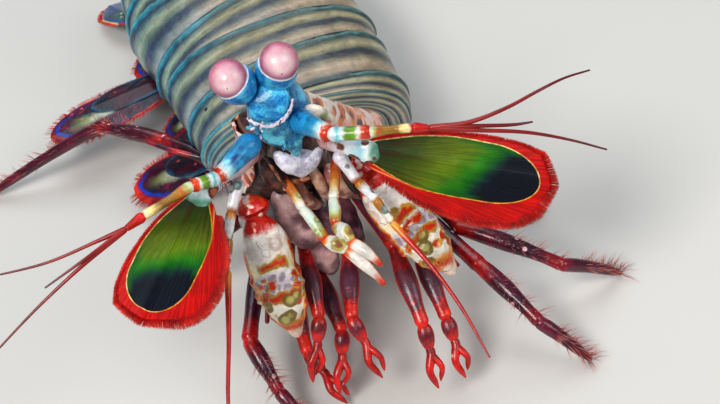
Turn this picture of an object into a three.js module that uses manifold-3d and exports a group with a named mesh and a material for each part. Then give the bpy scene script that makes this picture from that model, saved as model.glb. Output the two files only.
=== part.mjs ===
// Peacock mantis shrimp, a life-size still model with the front of the body reared up.
// Millimetres, +Z up, head towards -Y, the animal's left side towards +X.
import * as THREE from 'three';
import Module from 'manifold-3d';
import { mergeVertices } from 'three/addons/utils/BufferGeometryUtils.js';

const wasm = await Module();
wasm.setup();

// Driving sizes of the body.
const CARAPACE_LENGTH = 31;
const CARAPACE_PITCH = THREE.MathUtils.degToRad(60);
const CARAPACE_FRONT = [7, 52];
const BEND_RADIUS = 20;
const ABDOMEN_SOMITE = 10.5;
const LAST_SOMITE = 9;
const TELSON_LENGTH = 18;
const DROOP_FROM = 42;
const DROOP = 0.0072;
const SEAM = 0.3;
const MIN_RADIUS = 0.28;
const FLOOR_MARGIN = 40;

// Where the middle of the model's footprint falls in the working frame.
const FOOTPRINT_CENTRE = [-8.99, 43.19, 0];

// Sideways sway of the mid-line, as distance along the back against x.
const SWAY = [[-12, -3.4], [0, -3.4], [31, 0.6], [52, 2.5], [73, 0.5], [94, -4], [115, -8], [140, -10]];

const COLOUR = {
  shell: 0x6f7d54,
  band: 0x7f9a86,
  azure: 0x3c9ac4,
  spotted: 0xe2cdb4,
  eye: 0xd79aac,
  red: 0xc8281f,
  maroon: 0x6e1434,
  green: 0x5f8a1e,
  white: 0xe9e2dc,
  teal: 0x2f7f86,
  orange: 0xd9561e,
  plum: 0x7d5468,
};

const group = new THREE.Group();
group.name = 'mantis_shrimp';
const bodies = new Map();

function vec(p) {
  return new THREE.Vector3(p[0], p[1], p[2]);
}

// Interpolates a table of [key, value] pairs with a smooth step between neighbours.
function between(table, key) {
  if (key <= table[0][0]) return table[0][1];
  for (let i = 1; i < table.length; i += 1) {
    const [k0, v0] = table[i - 1];
    const [k1, v1] = table[i];
    if (key <= k1) {
      const t = (key - k0) / (k1 - k0);
      return v0 + (v1 - v0) * t * t * (3 - 2 * t);
    }
  }
  return table[table.length - 1][1];
}

// Closed body through a list of rings, each ring the same number of points.
function skin(rings) {
  const sides = rings[0].length;
  const verts = [];
  const faces = [];
  for (const ring of rings) {
    for (const p of ring) verts.push(p.x, p.y, p.z);
  }
  for (let r = 0; r + 1 < rings.length; r += 1) {
    for (let i = 0; i < sides; i += 1) {
      const a = r * sides + i;
      const b = r * sides + ((i + 1) % sides);
      faces.push(a, b, b + sides, a, b + sides, a + sides);
    }
  }
  for (const [ring, flip] of [[0, true], [rings.length - 1, false]]) {
    const mid = new THREE.Vector3();
    for (const p of rings[ring]) mid.add(p);
    mid.divideScalar(sides);
    const centre = verts.length / 3;
    verts.push(mid.x, mid.y, mid.z);
    for (let i = 0; i < sides; i += 1) {
      const a = ring * sides + i;
      const b = ring * sides + ((i + 1) % sides);
      if (flip) faces.push(b, a, centre);
      else faces.push(a, b, centre);
    }
  }
  const geometry = new THREE.BufferGeometry();
  geometry.setAttribute('position', new THREE.Float32BufferAttribute(verts, 3));
  geometry.setIndex(faces);
  return geometry;
}

function toSolid(geometry) {
  const bare = new THREE.BufferGeometry();
  bare.setAttribute('position', geometry.getAttribute('position').clone());
  if (geometry.index) bare.setIndex(geometry.index.clone());
  const merged = mergeVertices(bare, 1e-5);
  const solid = new wasm.Manifold(new wasm.Mesh({
    numProp: 3,
    vertProperties: new Float32Array(merged.attributes.position.array),
    triVerts: new Uint32Array(merged.index.array),
  }));
  return solid;
}

function toGeometry(solid) {
  const mesh = solid.getMesh();
  const geometry = new THREE.BufferGeometry();
  geometry.setAttribute('position', new THREE.BufferAttribute(new Float32Array(mesh.vertProperties), 3));
  geometry.setIndex(new THREE.BufferAttribute(new Uint32Array(mesh.triVerts), 1));
  return geometry;
}

// A copy of a solid pushed out along its normals, used to keep neighbours a seam apart.
function swollen(solid, distance) {
  const geometry = toGeometry(solid);
  geometry.computeVertexNormals();
  const position = geometry.getAttribute('position');
  const normal = geometry.getAttribute('normal');
  for (let i = 0; i < position.count; i += 1) {
    position.setXYZ(
      i,
      position.getX(i) + normal.getX(i) * distance,
      position.getY(i) + normal.getY(i) * distance,
      position.getZ(i) + normal.getZ(i) * distance,
    );
  }
  return toSolid(geometry);
}

function largest(solid) {
  const parts = solid.decompose();
  let best = parts[0];
  for (const part of parts) {
    if (part.volume() > best.volume()) best = part;
  }
  return best;
}

function joined(...geometries) {
  let solid = toSolid(geometries[0]);
  for (const geometry of geometries.slice(1)) solid = solid.add(toSolid(geometry));
  return toGeometry(solid);
}

// Everything under the floor is cut away, which leaves a small flat on each foot.
const floorBox = new THREE.BoxGeometry(400, 400, FLOOR_MARGIN);
floorBox.translate(0, 0, -FLOOR_MARGIN / 2);
const underFloor = toSolid(floorBox);

function place(name, geometry, colour, clearOf = [], look = {}) {
  let solid = toSolid(geometry);
  for (const other of clearOf) solid = solid.subtract(swollen(bodies.get(other), SEAM));
  solid = largest(solid.subtract(underFloor));
  bodies.set(name, solid);
  const mesh = new THREE.Mesh(toGeometry(solid), new THREE.MeshStandardMaterial({
    color: colour,
    roughness: look.roughness ?? 0.4,
    metalness: 0,
  }));
  mesh.name = name;
  group.add(mesh);
}

// The body's mid-line: distance s runs back from the front edge of the carapace.
function midline(s) {
  const bend = BEND_RADIUS * CARAPACE_PITCH;
  const cos = Math.cos(CARAPACE_PITCH);
  const sin = Math.sin(CARAPACE_PITCH);
  let y = CARAPACE_FRONT[0] + Math.min(s, CARAPACE_LENGTH) * cos;
  let z = CARAPACE_FRONT[1] - Math.min(s, CARAPACE_LENGTH) * sin;
  let pitch = CARAPACE_PITCH;
  if (s > CARAPACE_LENGTH) {
    const turned = Math.min((s - CARAPACE_LENGTH) / bend, 1) * CARAPACE_PITCH;
    pitch = CARAPACE_PITCH - turned;
    y += BEND_RADIUS * (sin - Math.sin(pitch));
    z -= BEND_RADIUS * (Math.cos(pitch) - cos);
  }
  const flat = CARAPACE_LENGTH + bend;
  if (s > flat) {
    const along = s - flat;
    const droop = Math.max(0, along - DROOP_FROM);
    y += along - droop * droop * DROOP * 0.3;
    z -= droop * droop * DROOP;
    pitch = Math.atan(2 * DROOP * droop);
  }
  return { point: new THREE.Vector3(between(SWAY, s), y, z), pitch };
}

function station(s) {
  const here = midline(s);
  const ahead = midline(s + 0.5).point;
  const behind = midline(s - 0.5).point;
  const along = ahead.sub(behind).normalize();
  const dorsal = new THREE.Vector3(0, Math.sin(here.pitch), Math.cos(here.pitch));
  dorsal.addScaledVector(along, -dorsal.dot(along)).normalize();
  const side = new THREE.Vector3().crossVectors(along, dorsal);
  return { point: here.point, along, dorsal, side };
}

// Cross-section of the trunk: rounded back, flatter belly, slightly pinched sides.
function trunkRing(s, half, up, down, sides, slide = 0) {
  const at = station(s);
  const ring = [];
  for (let i = 0; i < sides; i += 1) {
    const angle = (i / sides) * Math.PI * 2;
    const c = Math.cos(angle);
    const n = Math.sin(angle);
    const across = half * Math.sign(c) * Math.abs(c) ** 0.85;
    const height = n > 0 ? up * n ** 0.9 : -down * Math.abs(n) ** 0.7;
    ring.push(at.point.clone()
      .addScaledVector(at.side, across)
      .addScaledVector(at.dorsal, height)
      .addScaledVector(at.along, slide * (n > 0 ? n : 0)));
  }
  return ring.reverse();
}

function trunk(stations, sides) {
  return skin(stations.map(([s, half, up, down, slide]) => trunkRing(s, half, up, down, sides, slide)));
}

// Tube through points [x, y, z, radius, second radius]; wide is the way the first radius lies.
function tube(points, wide, sides = 8) {
  const centres = points.map(vec);
  const rings = [];
  for (let i = 0; i < points.length; i += 1) {
    const next = centres[Math.min(i + 1, points.length - 1)];
    const last = centres[Math.max(i - 1, 0)];
    const along = next.clone().sub(last).normalize();
    const first = vec(wide).addScaledVector(along, -vec(wide).dot(along)).normalize();
    const second = new THREE.Vector3().crossVectors(along, first);
    const a = Math.max(points[i][3], MIN_RADIUS);
    const b = Math.max(points[i][4] ?? points[i][3], MIN_RADIUS);
    const ring = [];
    for (let k = 0; k < sides; k += 1) {
      const angle = (k / sides) * Math.PI * 2;
      ring.push(centres[i].clone()
        .addScaledVector(first, a * Math.cos(angle))
        .addScaledVector(second, b * Math.sin(angle)));
    }
    rings.push(ring);
  }
  return skin(rings);
}

// Jointed limb: each article swells a little between the narrow joints at its ends.
function limb(joints, articles, wide, sides = 8) {
  const points = [];
  for (let i = 0; i < articles.length; i += 1) {
    const [start, end] = [vec(joints[i]), vec(joints[i + 1])];
    const [r0, r1, r2, flat = 1] = articles[i];
    const stops = i === 0 ? [[0, r0], [0.45, r1], [0.93, r2]] : [[0.07, r0], [0.45, r1], [0.93, r2]];
    if (i === articles.length - 1) stops[2][0] = 1;
    for (const [t, r] of stops) {
      const p = start.clone().lerp(end, t);
      points.push([p.x, p.y, p.z, r, r * flat]);
    }
  }
  return tube(points, wide, sides);
}

// Flat oval blade: half-widths either side of a spine that runs from base to tip.
function blade(base, tip, across, profile, thickness, sides = 10) {
  const start = vec(base);
  const spine = vec(tip).sub(start);
  const along = spine.clone().normalize();
  const wide = vec(across).addScaledVector(along, -vec(across).dot(along)).normalize();
  const normal = new THREE.Vector3().crossVectors(along, wide);
  const rings = profile.map(([t, low, high]) => {
    const ring = [];
    const thick = Math.max(thickness * (1 - 0.5 * t), 0.5) / 2;
    for (let k = 0; k < sides; k += 1) {
      const angle = (k / sides) * Math.PI * 2;
      const c = Math.cos(angle);
      const reach = c > 0 ? high : low;
      ring.push(start.clone()
        .addScaledVector(spine, t)
        .addScaledVector(wide, reach * c)
        .addScaledVector(normal, thick * Math.sin(angle)));
    }
    return ring;
  });
  return skin(rings);
}

// Carapace: a shield over the head and the front of the thorax, widening towards the back.
place('carapace', trunk([
  [8, 6.2, 0.6, 4.0, 0],
  [12, 7.2, 0.8, 5.0, 0],
  [18, 8.8, 1.2, 6.0, 0],
  [24, 10.6, 2.2, 6.6, 0],
  [CARAPACE_LENGTH - SEAM / 2, 14.0, 4.2, 6.6, 1.0],
], 16), COLOUR.spotted);

// Thoracic somites five to eight follow the bend between the raised front and the level abdomen.
const bendLength = BEND_RADIUS * CARAPACE_PITCH;
const thoraxStep = bendLength / 4;
const thoraxHalf = [14.6, 16.4, 18.0, 19.0];
for (let i = 0; i < 4; i += 1) {
  const s0 = CARAPACE_LENGTH + i * thoraxStep + SEAM / 2;
  const s1 = s0 + thoraxStep - SEAM;
  const half = thoraxHalf[i];
  const near = i === 0 ? ['carapace'] : [`thorax_${i + 4}`];
  place(`thorax_${i + 5}`, trunk([
    [s0, half - 0.5, 4.0 + i * 1.1, 6.4, 0],
    [(s0 + s1) / 2, half + 0.3, 4.7 + i * 1.1, 6.6, 0],
    [s1, half + 0.5, 5.1 + i * 1.1, 6.4, 0],
  ], 16), COLOUR.shell, near);
}

// Abdomen: six broad somites, each with a lip over the front of the next.
const abdomenStart = CARAPACE_LENGTH + bendLength;
const abdomenHalf = [19.4, 20.0, 20.2, 19.8, 18.6, 15.8];
const abdomenUp = [9.6, 10.0, 10.0, 9.8, 9.2, 8.0];
for (let i = 0; i < 6; i += 1) {
  const length = i === 5 ? LAST_SOMITE : ABDOMEN_SOMITE;
  const s0 = abdomenStart + i * ABDOMEN_SOMITE + SEAM / 2;
  const s1 = s0 + length - SEAM;
  const half = abdomenHalf[i];
  const up = abdomenUp[i];
  const previous = i === 0 ? 'thorax_8' : `abdomen_${i}`;
  place(`abdomen_${i + 1}`, trunk([
    [s0, half - 0.9, up - 0.8, 5.6, 0],
    [s0 + length * 0.45, half + 0.1, up, 6.0, 0],
    [s1, half + 0.5, up + 0.1, 5.6, 0],
  ], 16), COLOUR.shell, [previous]);
}
const abdomenEnd = abdomenStart + 5 * ABDOMEN_SOMITE + LAST_SOMITE;

function fromBack(s, across, up, along = 0) {
  const at = station(s);
  const p = at.point.clone()
    .addScaledVector(at.side, across)
    .addScaledVector(at.dorsal, up)
    .addScaledVector(at.along, along);
  return [p.x, p.y, p.z];
}

// Telson: a broad plate with a low keel, drooping towards the floor.
const telsonPlate = trunk([
  [abdomenEnd + SEAM / 2, 12.6, 5.2, 3.6, 0],
  [abdomenEnd + 4, 14.2, 4.6, 3.2, 0],
  [abdomenEnd + 9, 13.8, 3.4, 2.4, 0],
  [abdomenEnd + 13, 11.6, 2.4, 1.6, 0],
], 12);
const telsonTeeth = [[2.6, 17.6, 1.9], [7.4, 16.4, 1.8], [11.4, 13.0, 1.4]]
  .flatMap((tooth) => [[1, ...tooth], [-1, ...tooth]])
  .map(([sign, across, reach, r]) => tube([
    [...fromBack(abdomenEnd + 6, sign * across * 0.9, 0.6), r, r * 0.9],
    [...fromBack(abdomenEnd + 12, sign * across, 0.3), r, r * 0.7],
    [...fromBack(abdomenEnd + reach, sign * across, 0.1), 0.4, 0.3],
  ], [1, 0, 0], 6));
const keels = [-6, 0, 6].map((across) => tube([
  [...fromBack(abdomenEnd + 1, across * 0.9, 5.1 - 0.012 * across ** 2), 0.4],
  [...fromBack(abdomenEnd + 7, across, 3.9 - 0.012 * across ** 2), 0.7],
  [...fromBack(abdomenEnd + 12, across, 2.2 - 0.012 * across ** 2), 0.4],
], [1, 0, 0], 4));
place('telson', joined(telsonPlate, ...telsonTeeth, ...keels), COLOUR.green, ['abdomen_6']);

// Head: the column that carries the eyes and both pairs of feelers.
place('head', tube([
  [-1.2, 5.5, 44.4, 4.4, 4.4],
  [-1.3, 4.2, 47.5, 5.4, 6.6],
  [-1.5, 3.6, 52.5, 4.6, 4.6],
  [-2.2, 2.8, 56.6, 3.8, 2.8],
  [-2.7, 2.2, 59.2, 2.2, 1.6],
], [1, 0, 0], 10), COLOUR.azure, ['carapace']);

place('rostral_plate', blade([-1.9, 11.4, 46.6], [-2.2, 9.3, 53.4], [1, 0, 0], [
  [0, 3.4, 3.4], [0.35, 3.5, 3.5], [0.7, 2.1, 2.1], [1, 0.5, 0.5],
], 1), COLOUR.spotted, ['carapace', 'head']);

// Mouth field: upper lip with the jaws under it, lying against the underside of the carapace.
place('mouthparts', tube([
  [-1.3, 3.4, 44.6, 2.6, 2.2],
  [-1.1, 2.4, 42.2, 4.4, 3.4],
  [-0.6, 4.2, 38.0, 4.6, 4.0],
  [0.4, 7.6, 32.0, 4.2, 3.6],
  [1.0, 10.4, 28.0, 2.8, 2.6],
], [1, 0, 0], 10), COLOUR.white, ['carapace', 'thorax_5', 'head']);

// The animal's left side is +X.  Joint places come from the pose.
const eyes = { l: [1.2, -0.1, 62], r: [-7.2, 0.1, 62] };
const stalkRoots = { l: [-0.7, 2.4, 57.6], r: [-4.2, 2.4, 57.0] };
const EYE_RADIUS = 3.1;
for (const side of ['l', 'r']) {
  const centre = vec(eyes[side]);
  const root = vec(stalkRoots[side]);
  const axis = centre.clone().sub(root).normalize();
  const ball = new THREE.SphereGeometry(EYE_RADIUS, 12, 8);
  ball.scale(1, 0.9, 1);
  ball.applyQuaternion(new THREE.Quaternion().setFromUnitVectors(new THREE.Vector3(0, 1, 0), axis));
  ball.translate(centre.x, centre.y, centre.z);
  place(`eye_${side}`, ball, COLOUR.eye, [], { roughness: 0.15 });
  const collar = centre.clone().addScaledVector(axis, -0.6);
  const neck = centre.clone().addScaledVector(axis, -2.4);
  place(`eyestalk_${side}`, tube([
    [root.x, root.y, root.z, 1.7],
    [neck.x, neck.y, neck.z, 2.4],
    [collar.x, collar.y, collar.z, 3.15],
  ], [1, 0, 0], 10), COLOUR.azure, ['head', `eye_${side}`]);
}

// Antennules: three peduncle articles and three whips on each side.
const antennules = {
  l: {
    joints: [
      [0.2, -0.5, 51], [4.9, -10.0, 52.8], [10.9, -12.3, 52.6], [17, -13.8, 51.9], [19.6, -14.5, 51.3],
    ],
    whips: [
      [
        [25.6, -16.2, 51.2], [31.5, -16.6, 51.8], [37.3, -15.7, 52.2], [41.8, -13.9, 51.3], [46.2, -12.6, 50],
      ],
      [[26.8, -16.9, 50.4], [32.6, -17.8, 48.9], [34.8, -17.7, 48.3]],
      [[26.6, -17.3, 49.9], [33.7, -19.4, 47.9], [39.1, -21.5, 45.7], [44.3, -22.4, 42]],
    ],
  },
  r: {
    joints: [
      [-3.6, -0.5, 51.2], [-13.8, -7.7, 50.1], [-18.3, -9, 51.4], [-26.4, -12.4, 51.8], [-29.7, -13.8, 51.6],
    ],
    whips: [
      [[-33.8, -13.9, 51.4], [-42.1, -14.1, 50.8], [-52.3, -13.3, 51.3]],
      [[-35.7, -16.5, 51.4], [-43.9, -18, 49.5]],
      [[-37.8, -17.3, 50.4], [-45.4, -19.4, 47.8], [-55.6, -22.7, 43.7]],
    ],
  },
};
for (const side of ['l', 'r']) {
  const { joints, whips } = antennules[side];
  const fork = joints[4];
  const peduncle = limb(joints, [
    [1.9, 1.9, 1.6],
    [1.5, 1.2, 1.5],
    [1.2, 0.75, 0.9],
    [1.0, 1.0, 0.8],
  ], [0, 0, 1], 6);
  const lashes = whips.map((whip, n) => tube([
    [fork[0], fork[1], fork[2], 0.5],
    ...whip.map((p, i) => [...p, 0.42 - (0.14 * (i + 1)) / whip.length]),
  ], [0, 0.1 * n, 1], 4));
  place(`antennule_${side}`, joined(peduncle, ...lashes), COLOUR.orange, ['head']);
}

// Antennal scales: a stalk and a broad red-edged paddle.
const scales = {
  l: {
    root: [3.2, -0.5, 45.6],
    neck: [8.6, -7.4, 45.6],
    tip: [35.7, -22.9, 38.1],
    across: [-0.5, -0.2, -0.84],
  },
  r: {
    root: [-6.4, 0.5, 46.4],
    neck: [-17.1, -5.8, 46.7],
    tip: [-31.0, -32.6, 49.4],
    across: [0.85, -0.33, -0.4],
  },
};
const SCALE_PROFILE = [
  [0, 1.6, 1.6],
  [0.12, 3.4, 4.4],
  [0.3, 5.2, 7.6],
  [0.5, 6.2, 9.2],
  [0.7, 6.5, 9.4],
  [0.86, 5.8, 7.8],
  [0.96, 3.8, 4.6],
  [1, 1.6, 2.0],
];
for (const side of ['l', 'r']) {
  const { root, neck, tip, across } = scales[side];
  const middle = vec(root).lerp(vec(neck), 0.6).toArray();
  const stalk = tube([[...root, 2.1], [...middle, 2.0], [...neck, 1.5]], [0, 0, 1], 8);
  const paddle = blade(neck, tip, across, SCALE_PROFILE, 0.9, 10);
  const near = ['head', `antennule_${side}`, 'mouthparts'];
  place(`antennal_scale_${side}`, joined(stalk, paddle), COLOUR.green, near);
}

// Antennae: a short banded stem and one long whip, hanging forward below the scales.
const antennae = {
  l: [[5.0, -4.4, 44.6], [6.7, -8.8, 40.7], [8.5, -11.3, 38], [9.7, -14.1, 34.9], [13.1, -21.2, 30.1],
    [15.3, -27.7, 26], [16.9, -35.4, 20.5]],
  r: [[-11.0, -3.6, 45.2], [-13.9, -6.9, 41.9], [-15.8, -9.6, 38.9], [-17.4, -13.3, 36.2],
    [-20.8, -21.7, 29.7], [-24, -30.1, 24.8], [-25.4, -34.6, 21.6]],
};
const ANTENNA_RADII = [1.4, 1.25, 1.1, 0.7, 0.42, 0.36, 0.28];
for (const side of ['l', 'r']) {
  place(`antenna_${side}`, tube(antennae[side].map((p, i) => [...p, ANTENNA_RADII[i]]), [1, 0, 0], 7),
    COLOUR.orange, ['head', `antennal_scale_${side}`]);
}

// Raptorial claws, folded: merus behind, propodus in front, club and dactyl tucked between.
const claws = {
  l: { knee: [8.0, -2.6, 37.0], heel: [16.4, -15.4, 21.8], hip: [8.6, 9.0, 23.6] },
  r: { knee: [-10.7, -3.4, 37.6], heel: [-10.8, -13.6, 18.4], hip: [-9.6, 8.6, 22.6] },
};
for (const side of ['l', 'r']) {
  const knee = vec(claws[side].knee);
  const heel = vec(claws[side].heel);
  const hip = vec(claws[side].hip);
  const at = (from, to, t) => from.clone().lerp(to, t).toArray();
  const trimmed = ['carapace', 'mouthparts', 'thorax_5'];
  place(`claw_carpus_${side}`, tube([
    [...knee.clone().add(new THREE.Vector3(0, 0.6, 2.8)).toArray(), 1.4],
    [...knee.toArray(), 3.0, 2.6],
    [...knee.clone().add(new THREE.Vector3(0, -0.6, -1.8)).toArray(), 2.8, 2.4],
  ], [1, 0, 0], 8), COLOUR.red, trimmed);
  place(`claw_propodus_${side}`, tube([
    [...at(knee, heel, 0.1), 2.6, 2.0],
    [...at(knee, heel, 0.28), 3.9, 2.6],
    [...at(knee, heel, 0.6), 3.9, 2.6],
    [...at(knee, heel, 0.86), 2.7, 2.1],
    [...at(knee, heel, 1), 1.4, 1.3],
  ], [1, 0, 0], 10), COLOUR.white, [...trimmed, `claw_carpus_${side}`]);
  const tuck = new THREE.Vector3(0, 3.6, -2.0);
  place(`claw_dactyl_${side}`, tube([
    [...vec(at(knee, heel, 0.3)).add(tuck).toArray(), 0.6, 0.6],
    [...vec(at(knee, heel, 0.62)).add(tuck).toArray(), 1.3, 1.2],
    [...vec(at(knee, heel, 0.86)).add(tuck).toArray(), 2.5, 2.2],
    [...vec(at(knee, heel, 1.02)).add(tuck).toArray(), 2.2, 2.0],
    [...vec(at(knee, heel, 1.1)).add(tuck).toArray(), 0.8, 0.8],
  ], [1, 0, 0], 8), COLOUR.orange, [...trimmed, `claw_carpus_${side}`, `claw_propodus_${side}`]);
  place(`claw_merus_${side}`, tube([
    [...at(knee, hip, 0.08), 2.6, 2.2],
    [...at(knee, hip, 0.3), 3.4, 3.0],
    [...at(knee, hip, 0.7), 3.6, 3.2],
    [...at(knee, hip, 1), 2.2, 2.0],
  ], [1, 0, 0], 8), COLOUR.plum, [
    ...trimmed, `claw_carpus_${side}`, `claw_propodus_${side}`, `claw_dactyl_${side}`,
  ]);
}

// First maxillipeds: slender banded limbs crossing below the mouth.
const firstMaxillipeds = {
  l: [[4.6, -1.2, 40.0], [2.1, -8.1, 38.2], [1.0, -12.9, 37.3], [2.6, -16.8, 36.1], [5.8, -20.9, 33.1]],
  r: [[-4.6, -0.4, 39.6], [-3.0, -6.0, 36.6], [-1.3, -11.1, 33.3], [1.6, -13.6, 31.6], [5.4, -18.7, 26.7]],
};
for (const side of ['l', 'r']) {
  const radii = [1.0, 1.2, 1.15, 1.7, 0.8];
  place(`maxilliped_1_${side}`, tube(firstMaxillipeds[side].map((p, i) => [...p, radii[i]]), [1, 0, 0], 7),
    COLOUR.white, ['mouthparts', `claw_carpus_${side}`, `antenna_${side}`]);
}

// Maxillipeds three to five hang forward in front of the walking legs.
const maxillipeds = {
  maxilliped_3_l: [[5.6, 9.4, 28.4], [9.2, -7.6, 23.0], [9.3, -19.3, 15.7], [8.7, -24.8, 6.5]],
  maxilliped_4_l: [[6.6, 12.0, 25.0], [13.0, -5.0, 19.4], [13.4, -17.0, 13.0], [13.6, -23.0, 4.8]],
  maxilliped_5_l: [[4.4, 14.6, 21.6], [1.6, -3.0, 20.6], [-1.4, -13.2, 16.6], [0.6, -19.4, 7.6]],
  maxilliped_3_r: [[-3.0, 10.2, 27.6], [-5.2, -2.6, 23.6], [-6.4, -12.0, 18.0], [-10.6, -16.6, 9.2]],
  maxilliped_4_r: [[-4.6, 12.6, 24.4], [-4.2, -1.0, 17.6], [-3.6, -11.6, 12.8], [-7.0, -17.2, 5.0]],
  maxilliped_5_r: [[-5.4, 15.0, 21.2], [-9.6, 2.0, 14.2], [-10.4, -9.6, 8.6], [-6.4, -16.6, 1.6]],
};
const placed = [];
for (const [name, joints] of Object.entries(maxillipeds)) {
  const side = name.slice(-1);
  place(name, limb(joints, [
    [1.2, 1.4, 1.1],
    [1.4, 2.0, 1.2, 0.8],
    [1.1, 1.0, 0.5],
  ], [1, 0, 0], 6), COLOUR.plum, [
    'carapace', 'mouthparts', 'thorax_5', 'thorax_6', `claw_merus_${side}`, `claw_propodus_${side}`,
    `claw_dactyl_${side}`, 'maxilliped_1_r', 'maxilliped_1_l', ...placed,
  ]);
  placed.push(name);
}

// Walking legs: three pairs on the last three thoracic somites, tips flat on the floor.
const legRoot = (pair, sign) => fromBack(CARAPACE_LENGTH + thoraxStep * (pair + 0.5), sign * 8.5, -5.4);
const legs = {
  leg_1_l: [[13.6, 12.0, 15.4], [22.0, -9.0, 14.0], [27.9, -20.6, 8.4], [34.1, -25.2, -0.4]],
  leg_2_l: [[16.0, 17.0, 15.6], [21.6, -0.6, 15.6], [35.5, -10.4, 9.0], [45.5, -8.7, -0.4]],
  leg_3_l: [[17.0, 33.0, 11.0], [26.0, 25.0, 12.0], [34.0, 18.0, 8.0], [36.0, 13.0, -0.4]],
  leg_1_r: [[-12.6, 11.0, 14.4], [-19.0, -6.0, 12.4], [-17.0, -13.8, 6.2], [-13.6, -20.0, -0.4]],
  leg_2_r: [[-15.0, 23.0, 13.4], [-24.0, 18.0, 13.4], [-30.4, 24.0, 9.0], [-33.6, 31.0, -0.4]],
  leg_3_r: [[-15.0, 42.0, 11.0], [-24.0, 53.0, 12.6], [-36.0, 64.0, 12.4], [-64.0, 69.5, -0.4]],
};
const aboveLegs = ['thorax_5', 'thorax_6', 'thorax_7', 'thorax_8', 'abdomen_1'];
for (const [name, points] of Object.entries(legs)) {
  const sign = name.endsWith('l') ? 1 : -1;
  const joints = [legRoot(Number(name[4]), sign), ...points];
  const main = limb(joints, [
    [2.0, 2.0, 1.5],
    [1.5, 1.5, 1.3],
    [1.4, 1.5, 1.1],
    [1.2, 1.1, 0.7],
  ], [0, 0, 1], 6);
  const [knee, shin, foot] = [vec(joints[1]), vec(joints[2]), vec(joints[3])];
  const aside = new THREE.Vector3(foot.y - knee.y, knee.x - foot.x, 0);
  aside.normalize().multiplyScalar(sign);
  const rise = new THREE.Vector3(0, 0, 3);
  const branch = tube([
    [...knee.toArray(), 0.7],
    [...knee.clone().lerp(shin, 0.5).addScaledVector(aside, 3).add(rise).toArray(), 0.55],
    [...shin.clone().addScaledVector(aside, 4).add(rise).toArray(), 0.4],
  ], [0, 0, 1], 4);
  place(name, joined(main, branch), COLOUR.maroon, [...aboveLegs, ...placed]);
  placed.push(name);
}

// Pleopods: a pair of swimming paddles under each of the first five abdominal somites.
// Each entry is how far the tip reaches sideways, down and back, and the width of the paddle.
const pleopodTips = {
  l: [[17, 10.4, 2, 1], [18, 10.4, 2, 1], [20, 10.4, 2, 1], [24, 10.0, 3, 1], [20, 9.0, 3, 1]],
  r: [[34, 11.2, 11, 1.35], [25, 10.4, 5, 1], [24, 10.4, 3, 1], [43, 6.5, 4, 1.25], [22, 9.0, 3, 1]],
};
for (let i = 0; i < 5; i += 1) {
  for (const [side, sign] of [['l', 1], ['r', -1]]) {
    const s = abdomenStart + (i + 0.5) * ABDOMEN_SOMITE;
    const [out, down, back, width] = pleopodTips[side][i];
    const name = `pleopod_${i + 1}_${side}`;
    const outline = [[0, 1.8], [0.18, 2.2], [0.45, 4.3], [0.75, 4.6], [0.95, 2.6], [1, 1.2]];
    place(name, blade(
      fromBack(s, sign * 9.5, -4.8),
      fromBack(s, sign * out, -down, back),
      [0, 1, 0.1],
      outline.map(([t, half]) => [t, half * width, half * width]),
      1.6, 6,
    ), COLOUR.maroon, [`abdomen_${Math.max(i, 1)}`, `abdomen_${i + 1}`, `abdomen_${i + 2}`, ...placed]);
    placed.push(name);
  }
}

// Uropods: base, outer blade and inner blade on each side of the telson, tips on the floor.
for (const [side, sign] of [['l', 1], ['r', -1]]) {
  const s = abdomenEnd;
  const root = fromBack(s - 4, sign * 10.5, -3.4);
  const elbow = fromBack(s + 3, sign * 14.6, -5.0);
  const outer = fromBack(s + 22.5, sign * 19, 0);
  const inner = fromBack(s + 24, sign * 11, 0);
  outer[2] = 0.1;
  inner[2] = 0.1;
  const heel = fromBack(s + 6, sign * 15.4, -6.2);
  const base = tube([[...root, 2.4, 2.0], [...elbow, 2.8, 2.0], [...heel, 1.6, 1.2]], [1, 0, 0], 8);
  const spines = [[11.5, 8.0], [13.6, 5.5]].map(([across, long]) => tube([
    [...fromBack(s + 2.5, sign * (across + 1), -5.6), 1.1],
    [...fromBack(s + 3 + long, sign * (across + 0.6), -7.0), 0.3],
  ], [1, 0, 0], 5));
  const profile = [[0, 1.6, 1.6], [0.25, 3.0, 3.0], [0.6, 4.2, 4.2], [0.88, 3.2, 3.2], [1, 1.2, 1.2]];
  const across = [1, 0.3, 0];
  place(`uropod_${side}`, joined(
    base,
    ...spines,
    blade(elbow, outer, across, profile, 1.8, 6),
    blade(elbow, inner, across, profile, 1.8, 6),
  ), COLOUR.teal, ['abdomen_6', 'abdomen_5', 'telson', ...placed]);
}

group.position.set(-FOOTPRINT_CENTRE[0], -FOOTPRINT_CENTRE[1], -FOOTPRINT_CENTRE[2]);

export default group;
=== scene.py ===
import math

import bpy
import numpy as np
from mathutils import Matrix, Vector


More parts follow.
